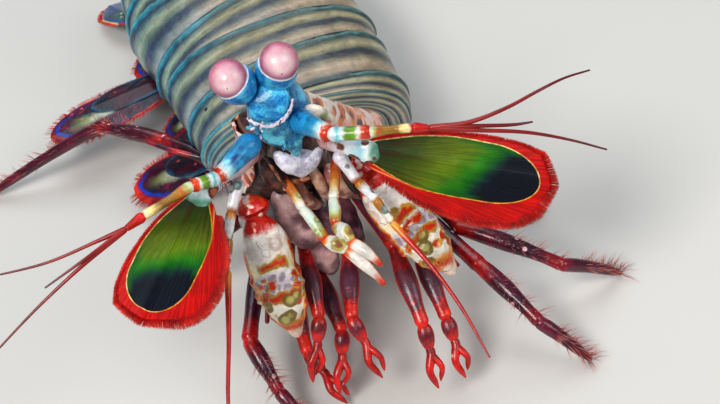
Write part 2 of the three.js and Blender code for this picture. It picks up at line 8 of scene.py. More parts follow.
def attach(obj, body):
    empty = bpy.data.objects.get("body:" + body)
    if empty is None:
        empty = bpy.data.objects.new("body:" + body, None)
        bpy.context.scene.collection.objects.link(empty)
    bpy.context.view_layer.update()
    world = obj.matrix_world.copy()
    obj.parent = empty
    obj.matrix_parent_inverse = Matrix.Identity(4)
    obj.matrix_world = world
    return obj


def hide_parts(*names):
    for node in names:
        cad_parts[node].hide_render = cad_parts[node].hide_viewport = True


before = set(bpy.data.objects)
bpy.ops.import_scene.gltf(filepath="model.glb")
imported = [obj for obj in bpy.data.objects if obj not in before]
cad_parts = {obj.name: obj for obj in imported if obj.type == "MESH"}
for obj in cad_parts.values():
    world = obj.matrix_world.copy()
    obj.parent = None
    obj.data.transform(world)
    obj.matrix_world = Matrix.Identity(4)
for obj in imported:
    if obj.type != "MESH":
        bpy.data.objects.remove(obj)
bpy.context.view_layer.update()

# Camera: it stood in front of the head, 42 degrees up, rolled 18 degrees and 300 mm from the eyes.  Every place
# in this file is in millimetres, with the head near x 0, y 0; SHIFT takes it to the row frame.
SHIFT = np.array([8.99, -43.19, 0.0])
PICTURE_WIDE, PICTURE_HIGH, SENSOR_MM = 720, 404, 36
AZIMUTH, ELEVATION, ROLL = (math.radians(v) for v in (-2, 42, 18))
EYES_AT, EYES_PIXEL, EYES_AWAY, FOCAL_PIXELS = (-3, 0, 62), (253.5, 69.5), 300, 1935
level = np.array([math.cos(AZIMUTH), math.sin(AZIMUTH), 0.0])
AHEAD = np.array([-math.sin(AZIMUTH) * math.cos(ELEVATION), math.cos(AZIMUTH) * math.cos(ELEVATION),
                  -math.sin(ELEVATION)])
upright = np.cross(level, AHEAD)
RIGHT = math.cos(ROLL) * level - math.sin(ROLL) * upright
UP = math.sin(ROLL) * level + math.cos(ROLL) * upright
aside = (EYES_PIXEL[0] - PICTURE_WIDE / 2) / FOCAL_PIXELS * EYES_AWAY
above = (PICTURE_HIGH / 2 - EYES_PIXEL[1]) / FOCAL_PIXELS * EYES_AWAY
stand = (np.array(EYES_AT) - EYES_AWAY * AHEAD - aside * RIGHT - above * UP + SHIFT) / 1000
camera = bpy.data.objects.new("camera", bpy.data.cameras.new("camera"))
bpy.context.scene.collection.objects.link(camera)
camera.data.sensor_width = SENSOR_MM
camera.data.lens = FOCAL_PIXELS / PICTURE_WIDE * SENSOR_MM
camera.data.clip_start = 0.01
camera.matrix_world = Matrix.Translation(stand.tolist()) @ Matrix(
    np.array([RIGHT, UP, -AHEAD]).T.tolist()).to_4x4()
bpy.context.scene.camera = camera

# Studio: a pale floor, a bright soft world and three broad lamps.
bpy.context.scene.view_settings.view_transform = "Standard"
bpy.context.scene.view_settings.look = "Medium High Contrast"
LAMP_TARGET = (0.0, 0.0, 0.03)
world = bpy.data.worlds.new("studio")
bpy.context.scene.world = world
world.use_nodes = True
sky = world.node_tree.nodes["Background"]
sky.inputs["Color"].default_value = (0.80, 0.86, 0.92, 1)
sky.inputs["Strength"].default_value = 0.2
for name, place, size, power, tint in (
    ("key", (-0.26, -0.40, 0.55), 0.26, 3.3, (1.0, 0.97, 0.93)),
    ("fill", (0.42, -0.35, 0.40), 0.30, 1.0, (1.0, 0.97, 0.94)),
    ("top", (0.05, 0.25, 0.60), 0.50, 1.5, (0.90, 0.96, 1.0)),
):
    lamp = bpy.data.objects.new(name, bpy.data.lights.new(name, "AREA"))
    bpy.context.scene.collection.objects.link(lamp)
    lamp.data.size = size
    lamp.data.energy = power
    lamp.data.color = tint
    lamp.location = place
    direction = np.array(LAMP_TARGET) - np.array(place)
    lamp.rotation_mode = "QUATERNION"
    lamp.rotation_quaternion = Vector(direction.tolist()).to_track_quat("-Z", "Y")

floor_mesh = bpy.data.meshes.new("floor")
floor_mesh.from_pydata([(-3, -3, 0), (3, -3, 0), (3, 3, 0), (-3, 3, 0)], [], [(0, 1, 2, 3)])
floor = bpy.data.objects.new("floor", floor_mesh)
bpy.context.scene.collection.objects.link(floor)
floor_look = bpy.data.materials.new("floor")
floor_look.use_nodes = True
floor_shader = floor_look.node_tree.nodes["Principled BSDF"]
floor_shader.inputs["Base Color"].default_value = (0.66, 0.65, 0.63, 1)
floor_shader.inputs["Roughness"].default_value = 0.8
floor_mesh.materials.append(floor_look)

# Antennal scales: a horny paddle each side on a short stalk, red round the edge with a green and navy
# field inside a cream line.  Close-set red setae fringe the edge.
def unit(v):
    return v / np.maximum(np.linalg.norm(v, axis=-1, keepdims=True), 1e-9)


def hermite(table, t):
    """Smooth values at t from rows of (place, value, ...)."""
    table = np.array(table, float)
    x, y = table[:, 0], table[:, 1:]
    slope = np.gradient(y, x, axis=0)
    t = np.clip(np.asarray(t, float), x[0], x[-1])
    i = np.clip(np.searchsorted(x, t, side="right") - 1, 0, len(x) - 2)
    h = (x[i + 1] - x[i])[:, None]
    u = (t - x[i])[:, None] / h
    return (y[i] * (2 * u**3 - 3 * u**2 + 1) + slope[i] * h * (u**3 - 2 * u**2 + u)
            + y[i + 1] * (3 * u**2 - 2 * u**3) + slope[i + 1] * h * (u**3 - u**2))


def through(points, count, end_rings=6):
    """A smooth curve through points that carry radii after x, y, z; rings crowd in at its round ends."""
    points = np.array(points, float)
    far = np.r_[0, np.cumsum(np.linalg.norm(np.diff(points[:, :3], axis=0), axis=1))]
    share = np.linspace(0, 1, count)
    crowd = 1 - np.cos(np.linspace(0, np.pi / 2, end_rings, endpoint=False))
    near, away = (crowd * min(1.0, 1.2 * points[end, 3] / far[-1]) for end in (0, -1))
    share = np.unique(np.r_[near, share[(share > near.max()) & (share < 1 - away.max())], 1 - away])
    made = hermite(np.column_stack([far, points]), share * far[-1])
    i = np.clip(np.searchsorted(far, share * far[-1], side="right") - 1, 0, len(far) - 2)
    low, high = np.minimum(points[i], points[i + 1]), np.maximum(points[i], points[i + 1])
    made[:, 3:] = np.clip(made[:, 3:], low[:, 3:] * 0.95, high[:, 3:] * 1.05)
    return made, share, far[-1]


class Shape:
    """Gathers closed grids of points in millimetres and turns them into one mesh with a UV map."""

    def __init__(self):
        self.points, self.faces, self.uvs, self.slots, self.marks, self.count = [], [], [], [], [], 0

    def add(self, points, faces, uvs, slot=0, mark=0.0):
        points = np.asarray(points, float).reshape(-1, 3)
        a, b, c = (points[faces[:, k]] for k in (0, 1, 2))
        if np.einsum("ij,ij->", a - points.mean(0), np.cross(b - points.mean(0), c - points.mean(0))) < 0:
            faces, uvs = faces[:, ::-1], uvs[:, ::-1]
        self.points.append(points)
        self.faces.append(faces + self.count)
        self.uvs.append(uvs)
        self.slots.append(np.full(len(faces), slot))
        self.marks.append(np.broadcast_to(np.asarray(mark, float).reshape(-1), len(points))
                          if np.size(mark) in (1, len(points)) else np.zeros(len(points)))
        self.count += len(points)

    def tube(self, grid, along=(0, 1), slot=0, share=None, mark=0.0):
        """A closed tube from rings of points, both ends drawn to a middle point."""
        rings, sides = grid.shape[:2]
        share = np.linspace(0, 1, rings) if share is None else share
        v = along[0] + (along[1] - along[0]) * share
        r, k = np.meshgrid(np.arange(rings - 1), np.arange(sides), indexing="ij")
        r, k = r.ravel(), k.ravel()
        n = (k + 1) % sides
        quads = np.stack([r * sides + k, r * sides + n, (r + 1) * sides + n, (r + 1) * sides + k], 1)
        quv = np.stack([np.stack([k / sides, v[r]], 1), np.stack([(k + 1) / sides, v[r]], 1),
                        np.stack([(k + 1) / sides, v[r + 1]], 1), np.stack([k / sides, v[r + 1]], 1)], 1)
        k = np.arange(sides)
        n = (k + 1) % sides
        middle = rings * sides
        first = np.stack([n, k, np.full(sides, middle), np.full(sides, middle)], 1)
        last = np.stack([k + (rings - 1) * sides, n + (rings - 1) * sides,
                         np.full(sides, middle + 1), np.full(sides, middle + 1)], 1)
        cap = lambda at: np.stack([np.stack([q / sides, np.full(sides, at)], 1)
                                   for q in (k + 1, k, k + 0.5, k + 0.5)], 1)
        points = np.concatenate([grid.reshape(-1, 3), [grid[0].mean(0), grid[-1].mean(0)]])
        if np.size(mark) == rings * sides:
            mark = np.r_[np.ravel(mark), np.ravel(mark)[0], np.ravel(mark)[-1]]
        self.add(points, np.concatenate([quads, first, last]), np.concatenate([quv, cap(v[0]), cap(v[-1])]),
                 slot, mark)

    def limb(self, points, wide, sides=32, rings=60, slot=0, mark=None, **more):
        """A closed tube swept through control points; mark turns the share along it into a mark."""
        grid, share = swept(points, wide, sides, rings, **more)
        self.tube(grid, slot=slot, share=share, mark=0.0 if mark is None else np.repeat(mark(share), sides))

    def plate(self, outer, thick, slot=0, mark=0.0, uv=None, up=None, inner=None):
        """A closed shell: an open grid of points and its copy pushed in by the thickness."""
        rows, cols = outer.shape[:2]
        normal = unit(np.cross(np.gradient(outer, axis=0), np.gradient(outer, axis=1)))
        if up is not None:
            normal = np.broadcast_to(np.asarray(up, float), outer.shape)
        inner = outer - normal * thick if inner is None else inner
        r, c = np.meshgrid(np.arange(rows), np.arange(cols), indexing="ij")
        ids = r * cols + c
        if uv is None:
            uv = np.stack([c / (cols - 1), r / (rows - 1)], 2)
        corner = lambda x: [x[:-1, :-1], x[:-1, 1:], x[1:, 1:], x[1:, :-1]]
        face = np.stack([x.ravel() for x in corner(ids)], 1)
        fuv = np.stack([x.reshape(-1, 2) for x in corner(uv)], 1)
        rim = np.concatenate([ids[0, :-1], ids[:-1, -1], ids[-1, :0:-1], ids[:0:-1, 0]])
        nxt = np.roll(rim, -1)
        flat = uv.reshape(-1, 2)
        band = np.stack([nxt, rim, rim + rows * cols, nxt + rows * cols], 1)
        buv = np.stack([flat[nxt], flat[rim], flat[rim], flat[nxt]], 1)
        points = np.concatenate([outer.reshape(-1, 3), inner.reshape(-1, 3)])
        both = np.tile(np.ravel(mark), 2) if np.size(mark) == rows * cols else mark
        self.add(points, np.concatenate([face, face[:, ::-1] + rows * cols, band]),
                 np.concatenate([fuv, fuv[:, ::-1], buv]), slot, both)

    def object(self, name, looks, slot, replaces=None, bake=False):
        """Makes the piece; its map is (around, along), or for setae (bake) their roots' places on the skin."""
        points = (np.concatenate(self.points) + SHIFT) / 1000
        faces = np.concatenate(self.faces)
        uvs = np.concatenate(self.uvs)
        tri = faces[:, 2] == faces[:, 3]
        size = np.where(tri, 3, 4)
        keep = np.ones(faces.shape, bool)
        keep[tri, 3] = False
        flip = (faces[:, 0] == faces[:, 1])
        keep[flip, 1] = False
        size[flip] = 3
        start = np.r_[0, np.cumsum(size)[:-1]]
        mesh = bpy.data.meshes.new(name)
        mesh.vertices.add(len(points))
        mesh.vertices.foreach_set("co", points.ravel())
        mesh.loops.add(int(size.sum()))
        mesh.loops.foreach_set("vertex_index", faces[keep].astype(np.int32))
        mesh.polygons.add(len(faces))
        mesh.polygons.foreach_set("loop_start", start.astype(np.int32))
        mesh.polygons.foreach_set("material_index", np.concatenate(self.slots).astype(np.int32))
        mesh.polygons.foreach_set("use_smooth", np.ones(len(faces), bool))
        mesh.update(calc_edges=True)
        layer = mesh.uv_layers.new(name="OFBake" if bake else "UVMap")
        layer.data.foreach_set("uv", uvs[keep].ravel())
        mark = mesh.attributes.new("mark", "FLOAT", "POINT")
        mark.data.foreach_set("value", np.concatenate(self.marks).astype(np.float32))
        mesh.validate()
        piece = bpy.data.objects.new(name, mesh)
        bpy.context.scene.collection.objects.link(piece)
        for look in looks if isinstance(looks, (list, tuple)) else [looks]:
            mesh.materials.append(look)
        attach(piece, "root")
        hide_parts(*(replaces or [name]))


def swept(points, wide, sides=32, rings=60, round_ends=(True, True), relief=None):
    """Rings of points round a smooth curve; each control point is x, y, z, radius, radius across."""
    points = [list(p) + [p[3]] if len(p) == 4 else list(p) for p in points]
    made, share, length = through(points, rings)
    centre, a, b = made[:, :3], made[:, 3], made[:, 4]
    for flag, gap in zip(round_ends, (share * length, (1 - share) * length)):
        if flag:
            reach = np.clip(gap / np.maximum(np.maximum(a, b) * 1.05, 1e-6), 0, 1)
            bend = np.sqrt(np.maximum(1 - (1 - reach) ** 2, 0)) * 0.97 + 0.03
            a, b = a * bend, b * bend
    ahead = unit(np.gradient(centre, axis=0))
    first = unit(np.array(wide, float) - (ahead @ np.array(wide, float))[:, None] * ahead)
    second = np.cross(ahead, first)
    turn = np.linspace(0, 2 * np.pi, sides, endpoint=False)
    swell = np.ones((len(share), sides)) if relief is None else relief(share[:, None], turn[None, :])
    grid = (centre[:, None] + first[:, None] * (a[:, None] * np.cos(turn) * swell)[..., None]
            + second[:, None] * (b[:, None] * np.sin(turn) * swell)[..., None])
    return grid, share


def rgb(code):
    """A linear colour from an sRGB hex code."""
    parts = [int(code[k:k + 2], 16) / 255 for k in (0, 2, 4)]
    return tuple(c / 12.92 if c <= 0.04045 else ((c + 0.055) / 1.055) ** 2.4 for c in parts) + (1.0,)


class Value:
    """What a shader node gives out; arithmetic on it writes math nodes."""

    def __init__(self, nodes, socket):
        self.nodes, self.socket = nodes, socket

    def __add__(self, other):
        return self.nodes.math("ADD", self, other)

    def __radd__(self, other):
        return self.nodes.math("ADD", other, self)

    def __sub__(self, other):
        return self.nodes.math("SUBTRACT", self, other)

    def __rsub__(self, other):
        return self.nodes.math("SUBTRACT", other, self)

    def __mul__(self, other):
        return self.nodes.math("MULTIPLY", self, other)

    def __truediv__(self, other):
        return self.nodes.math("DIVIDE", self, other)

    def __abs__(self):
        return self.nodes.math("ABSOLUTE", self)


class Nodes:
    """Writes a shader tree as nested calls."""

    def __init__(self, tree):
        self.tree = tree

    def get(self, kind, values=None, output=0, **settings):
        return Value(self, self.add(kind, values, **settings).outputs[output])

    def add(self, kind, values=None, **settings):
        node = self.tree.nodes.new(kind)
        for key, value in settings.items():
            setattr(node, key, value)
        for key, value in (values or {}).items():
            self.put(node.inputs[key], value)
        return node

    def put(self, socket, value):
        if isinstance(value, Value):
            self.tree.links.new(value.socket, socket)
        else:
            socket.default_value = rgb(value) if isinstance(value, str) else value

    def math(self, operation, a, b=0.0):
        return self.get("ShaderNodeMath", {0: a, 1: b}, operation=operation)

    def mix(self, share, a, b):
        return self.get("ShaderNodeMix", {0: share, 6: a, 7: b}, 2, data_type="RGBA")

    def step(self, value, low, high):
        return self.get("ShaderNodeMapRange", {0: value, 1: low, 2: high}, interpolation_type="SMOOTHSTEP")

    def ramp(self, value, stops):
        node = self.add("ShaderNodeValToRGB", {0: value})
        band = node.color_ramp.elements
        while len(band) < len(stops):
            band.new(0.5)
        for element, (place, code) in zip(band, stops):
            element.position = place
            element.color = rgb(code)
        return Value(self, node.outputs[0])

    def place(self):
        return self.get("ShaderNodeTexCoord", output="Object")

    def uv(self):
        split = self.add("ShaderNodeSeparateXYZ", {0: self.get("ShaderNodeUVMap")})
        return Value(self, split.outputs[0]), Value(self, split.outputs[1])

    def mark(self):
        return self.get("ShaderNodeAttribute", output="Fac", attribute_name="mark")

    def vector(self, x, y):
        return self.get("ShaderNodeCombineXYZ", {0: x, 1: y})

    def noise(self, scale, detail=2.0, vector=None, output="Fac"):
        return self.get("ShaderNodeTexNoise", {"Vector": vector or self.place(), "Scale": scale,
                                               "Detail": detail}, output)

    def wobble(self, scale, detail, amount):
        """Noise that swings both ways round nought."""
        return (self.noise(scale, detail) - 0.5) * amount

    def clouds(self, scale, detail, low, high, first, second):
        """Two colours that meet in soft clouds."""
        return self.mix(self.step(self.noise(scale, detail), low, high), first, second)

    def cells(self, scale, feature="F1", vector=None):
        return self.get("ShaderNodeTexVoronoi", {"Vector": vector or self.place(), "Scale": scale}, "Distance",
                        feature=feature)


def group(name, sockets, write):
    """A shader node group: sockets are (name, kind, default) inputs, and write returns its named outputs."""
    tree = bpy.data.node_groups.new(name, "ShaderNodeTree")
    for label, kind, default in sockets:
        tree.interface.new_socket(label, in_out="INPUT", socket_type=kind).default_value = default
    n = Nodes(tree)
    source = n.add("NodeGroupInput")
    results = write(n, {label: Value(n, source.outputs[label]) for label, _, _ in sockets})
    for label, (kind, _) in results.items():
        tree.interface.new_socket(label, in_out="OUTPUT", socket_type=kind)
    sink = n.add("NodeGroupOutput")
    for label, (_, value) in results.items():
        n.put(sink.inputs[label], value)
    return tree


def relief_nodes(n, given):
    """Fine pits and low bumps of crustacean shell, added to whatever height comes in."""
    pits = n.step(n.cells(given["Pits"]), 0.05, 0.35)
    lumps = n.noise(given["Lumps"], 3.0)
    height = given["Height"] + (pits * given["Pit depth"] + lumps * given["Lump height"])
    bump = n.get("ShaderNodeBump", {"Strength": 1.0, "Distance": 0.0001, "Height": height})
    return {"Normal": ("NodeSocketVector", bump)}


SHELL_RELIEF = group("shell relief", [("Height", "NodeSocketFloat", 0.0), ("Pits", "NodeSocketFloat", 2500.0),
                                      ("Pit depth", "NodeSocketFloat", 0.25),
                                      ("Lumps", "NodeSocketFloat", 700.0),
                                      ("Lump height", "NodeSocketFloat", 1.2)], relief_nodes)


def mottle_nodes(n, given):
    """Uneven pigment: lightens and darkens a colour in soft clouds and fine grain."""
    cloud = n.step(n.noise(given["Scale"], 4.0), 0.35, 0.68)
    grain = n.noise(given["Scale"] * 7.0, 2.0)
    level = (cloud - 0.5) * given["Amount"] + (grain - 0.5) * given["Amount"]
    lit = n.get("ShaderNodeHueSaturation", {"Color": given["Color"], "Value": 1.0 + level})
    return {"Color": ("NodeSocketColor", lit)}


MOTTLE = group("mottle", [
    ("Color", "NodeSocketColor", (0.5, 0.5, 0.5, 1.0)), ("Scale", "NodeSocketFloat", 300.0),
    ("Amount", "NodeSocketFloat", 0.4),
], mottle_nodes)


def ring_nodes(n, given):
    """Scattered ring spots: a dark ring round a paler olive middle, with a soft uneven edge."""
    wavy = n.wobble(given["Scale"] * 4.0, 1.0, 0.16)
    far = n.cells(given["Scale"]) + wavy
    inside = n.step(far, given["Size"], given["Size"] - 0.07)
    middle = n.step(far, given["Size"] * 0.62, given["Size"] * 0.34)
    colour = n.mix(inside * given["Share"], given["Color"], given["Ring"])
    return {"Color": ("NodeSocketColor", n.mix(middle * given["Share"], colour, given["Middle"]))}


RING_SPOTS = group("ring spots", [
    ("Color", "NodeSocketColor", (0.5, 0.5, 0.5, 1.0)), ("Ring", "NodeSocketColor", (0.2, 0.1, 0.05, 1.0)),
    ("Middle", "NodeSocketColor", (0.4, 0.4, 0.1, 1.0)), ("Scale", "NodeSocketFloat", 200.0),
    ("Size", "NodeSocketFloat", 0.35), ("Share", "NodeSocketFloat", 1.0),
], ring_nodes)


def ringed(n, colour, scale, size, ring, middle, share=1.0):
    """Lays ring spots over a colour."""
    return n.get("ShaderNodeGroup", {"Color": colour, "Ring": ring, "Middle": middle, "Scale": scale,
                                     "Size": size, "Share": share}, node_tree=RING_SPOTS)


def look(name, paint, rough=0.3, coat=0.35, pit_depth=0.25, lumps=700.0, lump=1.2, mottled=0.35, glow=0.0,
         grain=300.0, shine=0.5):
    """A shell material; paint returns a colour, or a colour and a height in tenths of a millimetre."""
    material = bpy.data.materials.new(name)
    material.use_nodes = True
    n = Nodes(material.node_tree)
    painted = paint(n)
    colour, height = painted if isinstance(painted, tuple) else (painted, 0.0)
    clouds = n.get("ShaderNodeGroup", {"Color": colour, "Amount": mottled, "Scale": grain}, node_tree=MOTTLE)
    relief = n.get("ShaderNodeGroup", {"Height": height, "Pit depth": pit_depth, "Lumps": lumps,
                                       "Lump height": lump}, node_tree=SHELL_RELIEF)
    finish = {"Base Color": clouds, "Normal": relief, "Roughness": rough, "Coat Weight": coat,
              "Coat Roughness": 0.12, "Specular IOR Level": shine}
    if glow:
        finish.update({"Subsurface Weight": glow, "Subsurface Radius": (0.002, 0.0006, 0.0004),
                       "Subsurface Scale": 0.5})
    shader = material.node_tree.nodes["Principled BSDF"]
    for key, value in finish.items():
        n.put(shader.inputs[key], value)
    return material


# Each side: root of the stalk, neck where the paddle starts, tip, and the way across.
SCALES = {
    "l": ([3.2, -0.5, 45.6], [8.6, -7.4, 45.6], [35.7, -22.9, 38.1], [-0.5, -0.2, -0.84]),
    "r": ([-6.4, 0.5, 46.4], [-17.1, -5.8, 46.7], [-31.0, -32.6, 49.4], [0.85, -0.33, -0.4]),
}
# Half widths of the paddle and of its green field below and above the middle line, by the share along it.
SCALE_EDGE = [[0, 1.6, 1.6], [0.12, 3.4, 4.4], [0.3, 5.2, 7.6], [0.5, 6.2, 9.2], [0.7, 6.5, 9.4],
              [0.86, 5.8, 7.8], [0.96, 3.8, 4.6], [1, 1.6, 2.0]]
SCALE_FIELD = [[0, 1.2, 0.8], [0.13, 2.7, 2.6], [0.27, 4.1, 4.2], [0.45, 5.1, 4.7], [0.64, 5.2, 4.6],
               [0.9, 5.2, 4.6]]


def scale_paint(n):
    across, along = n.uv()
    field = n.mark()
    ray = n.noise(1.0, 3.0, n.vector(across / (along + 0.25), along * 2.5))
    fine = n.noise(3.5, 2.0, n.vector(across / (along + 0.25), along * 1.2))
    slant = along + across * 0.022
    slant = slant + n.wobble(160, 3.0, 0.16)
    slant = slant + (ray - 0.5) * 0.06
    green = n.ramp(slant, [(0.0, "1c4030"), (0.1, "2c3a10"), (0.24, "3c5008"), (0.36, "5c6c06"),
                           (0.46, "64800a"), (0.54, "2c7a08"), (0.6, "0a5c10"), (0.655, "04302a"),
                           (0.7, "030c1c"), (1.0, "050a20")])
    streak = n.step(ray, 0.52, 0.6) * n.step(along, 0.44, 0.14)
    green = n.mix(streak * 0.8, green, "461a0c")
    fine_on = n.step(fine, 0.46, 0.62) * n.step(slant, 0.6, 0.5)
    green = n.mix(fine_on * 0.35, green, "123408")
    near = n.step(abs(field), 1.1, 0.3) * n.step(along, 0.34, 0.62)
    green = n.mix(near * n.step(slant, 0.74, 0.66), green, "0c5c10")
    green = n.mix(n.step(along, 0.05, 0.01), green, "9cc4c0")
    red = n.mix(n.step(fine, 0.42, 0.62), "aa0604", "d01008")
    # Painted highlights: paler orange streaks on the red near the stalk, on one side of the paddle.
    pale = n.step(ray, 0.5, 0.6) * (n.step(along, 0.34, 0.2) * n.step(across, 1.5, 3.0))
    red = n.mix(pale, red, "ee8a56")
    colour = n.mix(n.step(field, -0.06, 0.06), red, green)
    dots = 0.45 + n.step(n.noise(900, 1.0), 0.42, 0.56) * 0.55
    line = n.step(abs(field), 0.15, 0.06) * dots
    colour = n.mix(line, colour, n.mix(n.step(across, -1.0, 2.5), "e8d488", "f0a838"))
    height = fine * 0.7 + line * 1.0
    return colour, height


SCALE_LOOK = look("scale", scale_paint, rough=0.5, coat=0.04, pit_depth=0.12, lump=0.5, mottled=0.22,
                  shine=0.25)


def stalk_paint(n):
    shade = n.ramp(n.mark() + n.wobble(500, 2.0, 0.2), [(0.0, "8c242a"), (0.2, "c89a98"), (0.4, "d8ccd0"),
                                                        (0.6, "dce4e8"), (0.74, "9cd0dc"), (0.84, "e4ecec"),
                                                        (0.92, "6aa08c"), (1.0, "1c4a34")])
    return ringed(n, shade, 330, 0.42, "6a2c14", "b8622a", n.step(n.mark(), 0.3, 0.45))


STALK_LOOK = look("scale stalk", stalk_paint, mottled=0.3)


def seta_paint(root, tip):
    return lambda n: n.mix(n.step(n.mark(), 0.25, 0.95), root, tip)


RED_SETA = look("red seta", seta_paint("c00a06", "e04434"), rough=0.55, coat=0.0, pit_depth=0.0, lump=0.0,
                mottled=0.5)


def setae(shape, roots, ends, bow, radius, places):
    """Thin tapering hairs, each a closed three-sided spike bent by bow, unwrapped at its root's place."""
    count = len(roots)
    t = np.array([0.0, 0.4, 0.75])
    bow = np.broadcast_to(np.asarray(bow, float), roots.shape)
    bent = lambda s: roots[:, None] * (1 - s[:, None]) + ends[:, None] * s[:, None] \
        + bow[:, None] * (4 * s * (1 - s))[:, None]
    ahead = unit(ends - roots)
    first = unit(np.cross(ahead, [0.21, 0.13, 0.97]))
    second = np.cross(ahead, first)
    turn = np.arange(3) * 2 * np.pi / 3
    spread = (first[:, None] * np.cos(turn)[:, None] + second[:, None] * np.sin(turn)[:, None])
    radius = np.broadcast_to(np.asarray(radius, float), count)
    rings = bent(t)[:, :, None] + spread[:, None] * (radius[:, None] * (1 - 0.62 * t))[:, :, None, None]
    tips = bent(np.array([1.0]))
    points = np.concatenate([rings.reshape(count, 9, 3), tips], 1)
    face = [(2, 1, 0, 0)]
    for r in (0, 3):
        face += [(r, r + 1, r + 4, r + 3), (r + 1, r + 2, r + 5, r + 4), (r + 2, r, r + 3, r + 5)]
    face += [(6, 7, 9, 9), (7, 8, 9, 9), (8, 6, 9, 9)]
    face = np.array(face)
    level = np.r_[np.repeat(t, 3), 1.0]
    angle = np.r_[np.tile(turn, 3), 0.0]
    patch = 0.0015 * np.stack([np.cos(angle) * (1 - 0.8 * level), np.sin(angle) * (1 - 0.8 * level)], 1)
    uv = places[:, None, None] + patch[face][None]
    faces = (face[None] + 10 * np.arange(count)[:, None, None]).reshape(-1, 4)
    shape.add(points.reshape(-1, 3), faces, uv.reshape(-1, 4, 2), 0, np.tile(level, count))


random = np.random.default_rng(11)
SETA_LENGTH, SCALE_SETAE, RIM_POINTS = 1.5, 4300, 800
TRIM, FIELD_END, SCALE_THICK = 0.93, 0.902, 0.42
for side, (root, neck, tip, across) in SCALES.items():
    root, neck, tip = (np.array(p, float) for p in (root, neck, tip))
    length = np.linalg.norm(tip - neck)
    axis = (tip - neck) / length
    wide = unit(np.array(across, float) - (np.array(across) @ axis) * axis)
    face_up = np.cross(axis, wide)
    if face_up[2] < 0:
        face_up = -face_up

    def on_scale(t, w, lift=0.0):
        t, w, lift = np.broadcast_arrays(t, w, lift)
        curl = -0.9 * (t - 0.5) ** 2 - 0.006 * w**2
        return neck + axis * (t * length)[..., None] + wide * w[..., None] + face_up * (lift + curl)[..., None]

    rows, cols = 170, 61
    t = 1 - (1 - np.linspace(0, 1, rows)) ** 1.7
    low, high = hermite(SCALE_EDGE, t * 0.985).T
    close = np.sqrt(np.clip((1 - t) / 0.07, 0, 1))
    open_root = np.clip(0.75 + t * 4, 0, 1)
    trim_low = low * TRIM * close * open_root
    trim_high = (high - SETA_LENGTH * np.clip(t * 5, 0, 1)) * close * open_root
    t = t * 0.955
    c = np.linspace(-1, 1, cols)[None, :]
    saw = 1 + 0.012 * np.sin(t * 330)[:, None] * (np.abs(c) > 0.97)
    w = np.where(c > 0, c * trim_high[:, None], c * trim_low[:, None]) * saw
    ridge = 0.16 * np.exp(-((w + 0.8) / 0.9) ** 2) + 0.24 * (1 - c**4)
    outer = on_scale(t[:, None], w, ridge)
    line_t = FIELD_END * np.sin(np.linspace(0, np.pi / 2, 260))
    line_low, line_high = hermite(SCALE_FIELD, line_t).T
    rounding = np.sqrt(1 - np.clip((line_t - 0.64) / 0.2621, 0, 1) ** 2)
    line = np.concatenate([np.stack([-line_low * rounding, line_t * length], 1),
                           np.stack([line_high * rounding, line_t * length], 1)[::-1]])
    spots = np.stack([w, np.broadcast_to(t[:, None] * length, w.shape)], -1)
    gap = np.sqrt(((spots[:, :, None] - line[None, None]) ** 2).sum(-1)).min(-1)
    inside = ((w > -np.interp(t, line_t, line_low * rounding)[:, None])
              & (w < np.interp(t, line_t, line_high * rounding)[:, None]) & (t[:, None] < FIELD_END + 0.002))
    paddle = Shape()
    paddle.plate(outer, SCALE_THICK, mark=np.where(inside, gap, -gap),
                 uv=np.stack([w, np.broadcast_to(t[:, None], w.shape)], 2), up=face_up)
    paddle.limb([[*root, 1.5], [*(root * 0.6 + neck * 0.4), 1.7], [*(root * 0.25 + neck * 0.75), 1.4],
                 [*(neck + axis * 1.0), 1.9, 0.9], [*(neck + axis * 3.4), 2.4, 0.5]], wide, 32, 40, 1,
                lambda t: t)
    paddle.object("antennal_scale_" + side, [SCALE_LOOK, STALK_LOOK], "antennal_scale")
    fringe = Shape()
    rim = np.concatenate([np.stack([-trim_low, t * length], 1), np.stack([trim_high, t * length], 1)[::-1]])
    reach = np.r_[(low - low * TRIM * close) * 0.9, (high - (high - SETA_LENGTH) * close)[::-1]]
    reach = np.clip(reach, 0.35, SETA_LENGTH)
    walk = np.r_[0, np.cumsum(np.linalg.norm(np.diff(rim, axis=0), axis=1))]
    even = np.linspace(0, walk[-1], RIM_POINTS)
    rim = np.stack([np.interp(even, walk, col) for col in rim.T], 1)
    reach, walk = np.interp(even, walk, reach), even
    near_by = np.clip(np.arange(RIM_POINTS)[:, None] + np.arange(-45, 46), 0, RIM_POINTS - 1)
    step = np.gradient(rim[near_by].mean(1), axis=0)
    outward, reach = unit(np.stack([-step[:, 1], step[:, 0]], 1)), reach[near_by].mean(1)
    at = np.sort(random.uniform(0.06, 0.94, SCALE_SETAE)) * walk[-1]
    edge_w, edge_y, out_w, out_y, long = (np.interp(at, walk, col) for col in (*rim.T, *outward.T, reach))
    long = long * random.uniform(0.82, 1.0, len(at))
    end_w = edge_w + out_w * long
    end_y = np.minimum(edge_y + out_y * long + 0.5 * long * np.abs(out_w), length * 0.998)
    in_w, in_y = edge_w - out_w * 0.25, edge_y - out_y * 0.25
    a = on_scale(in_y / length, in_w, random.uniform(-0.25, 0.1, len(at)))
    b = on_scale(end_y / length, end_w, random.uniform(-0.35, 0.15, len(at)))
    places = np.stack([0.5 + in_w / 24, in_y / length * 0.9 + 0.05], 1)
    setae(fringe, a, b, axis * 0.1, random.uniform(0.035, 0.06, len(at)), places)
    fringe.object("scale_fringe_" + side, RED_SETA, "antennal_scale", ["antennal_scale_" + side], bake=True)
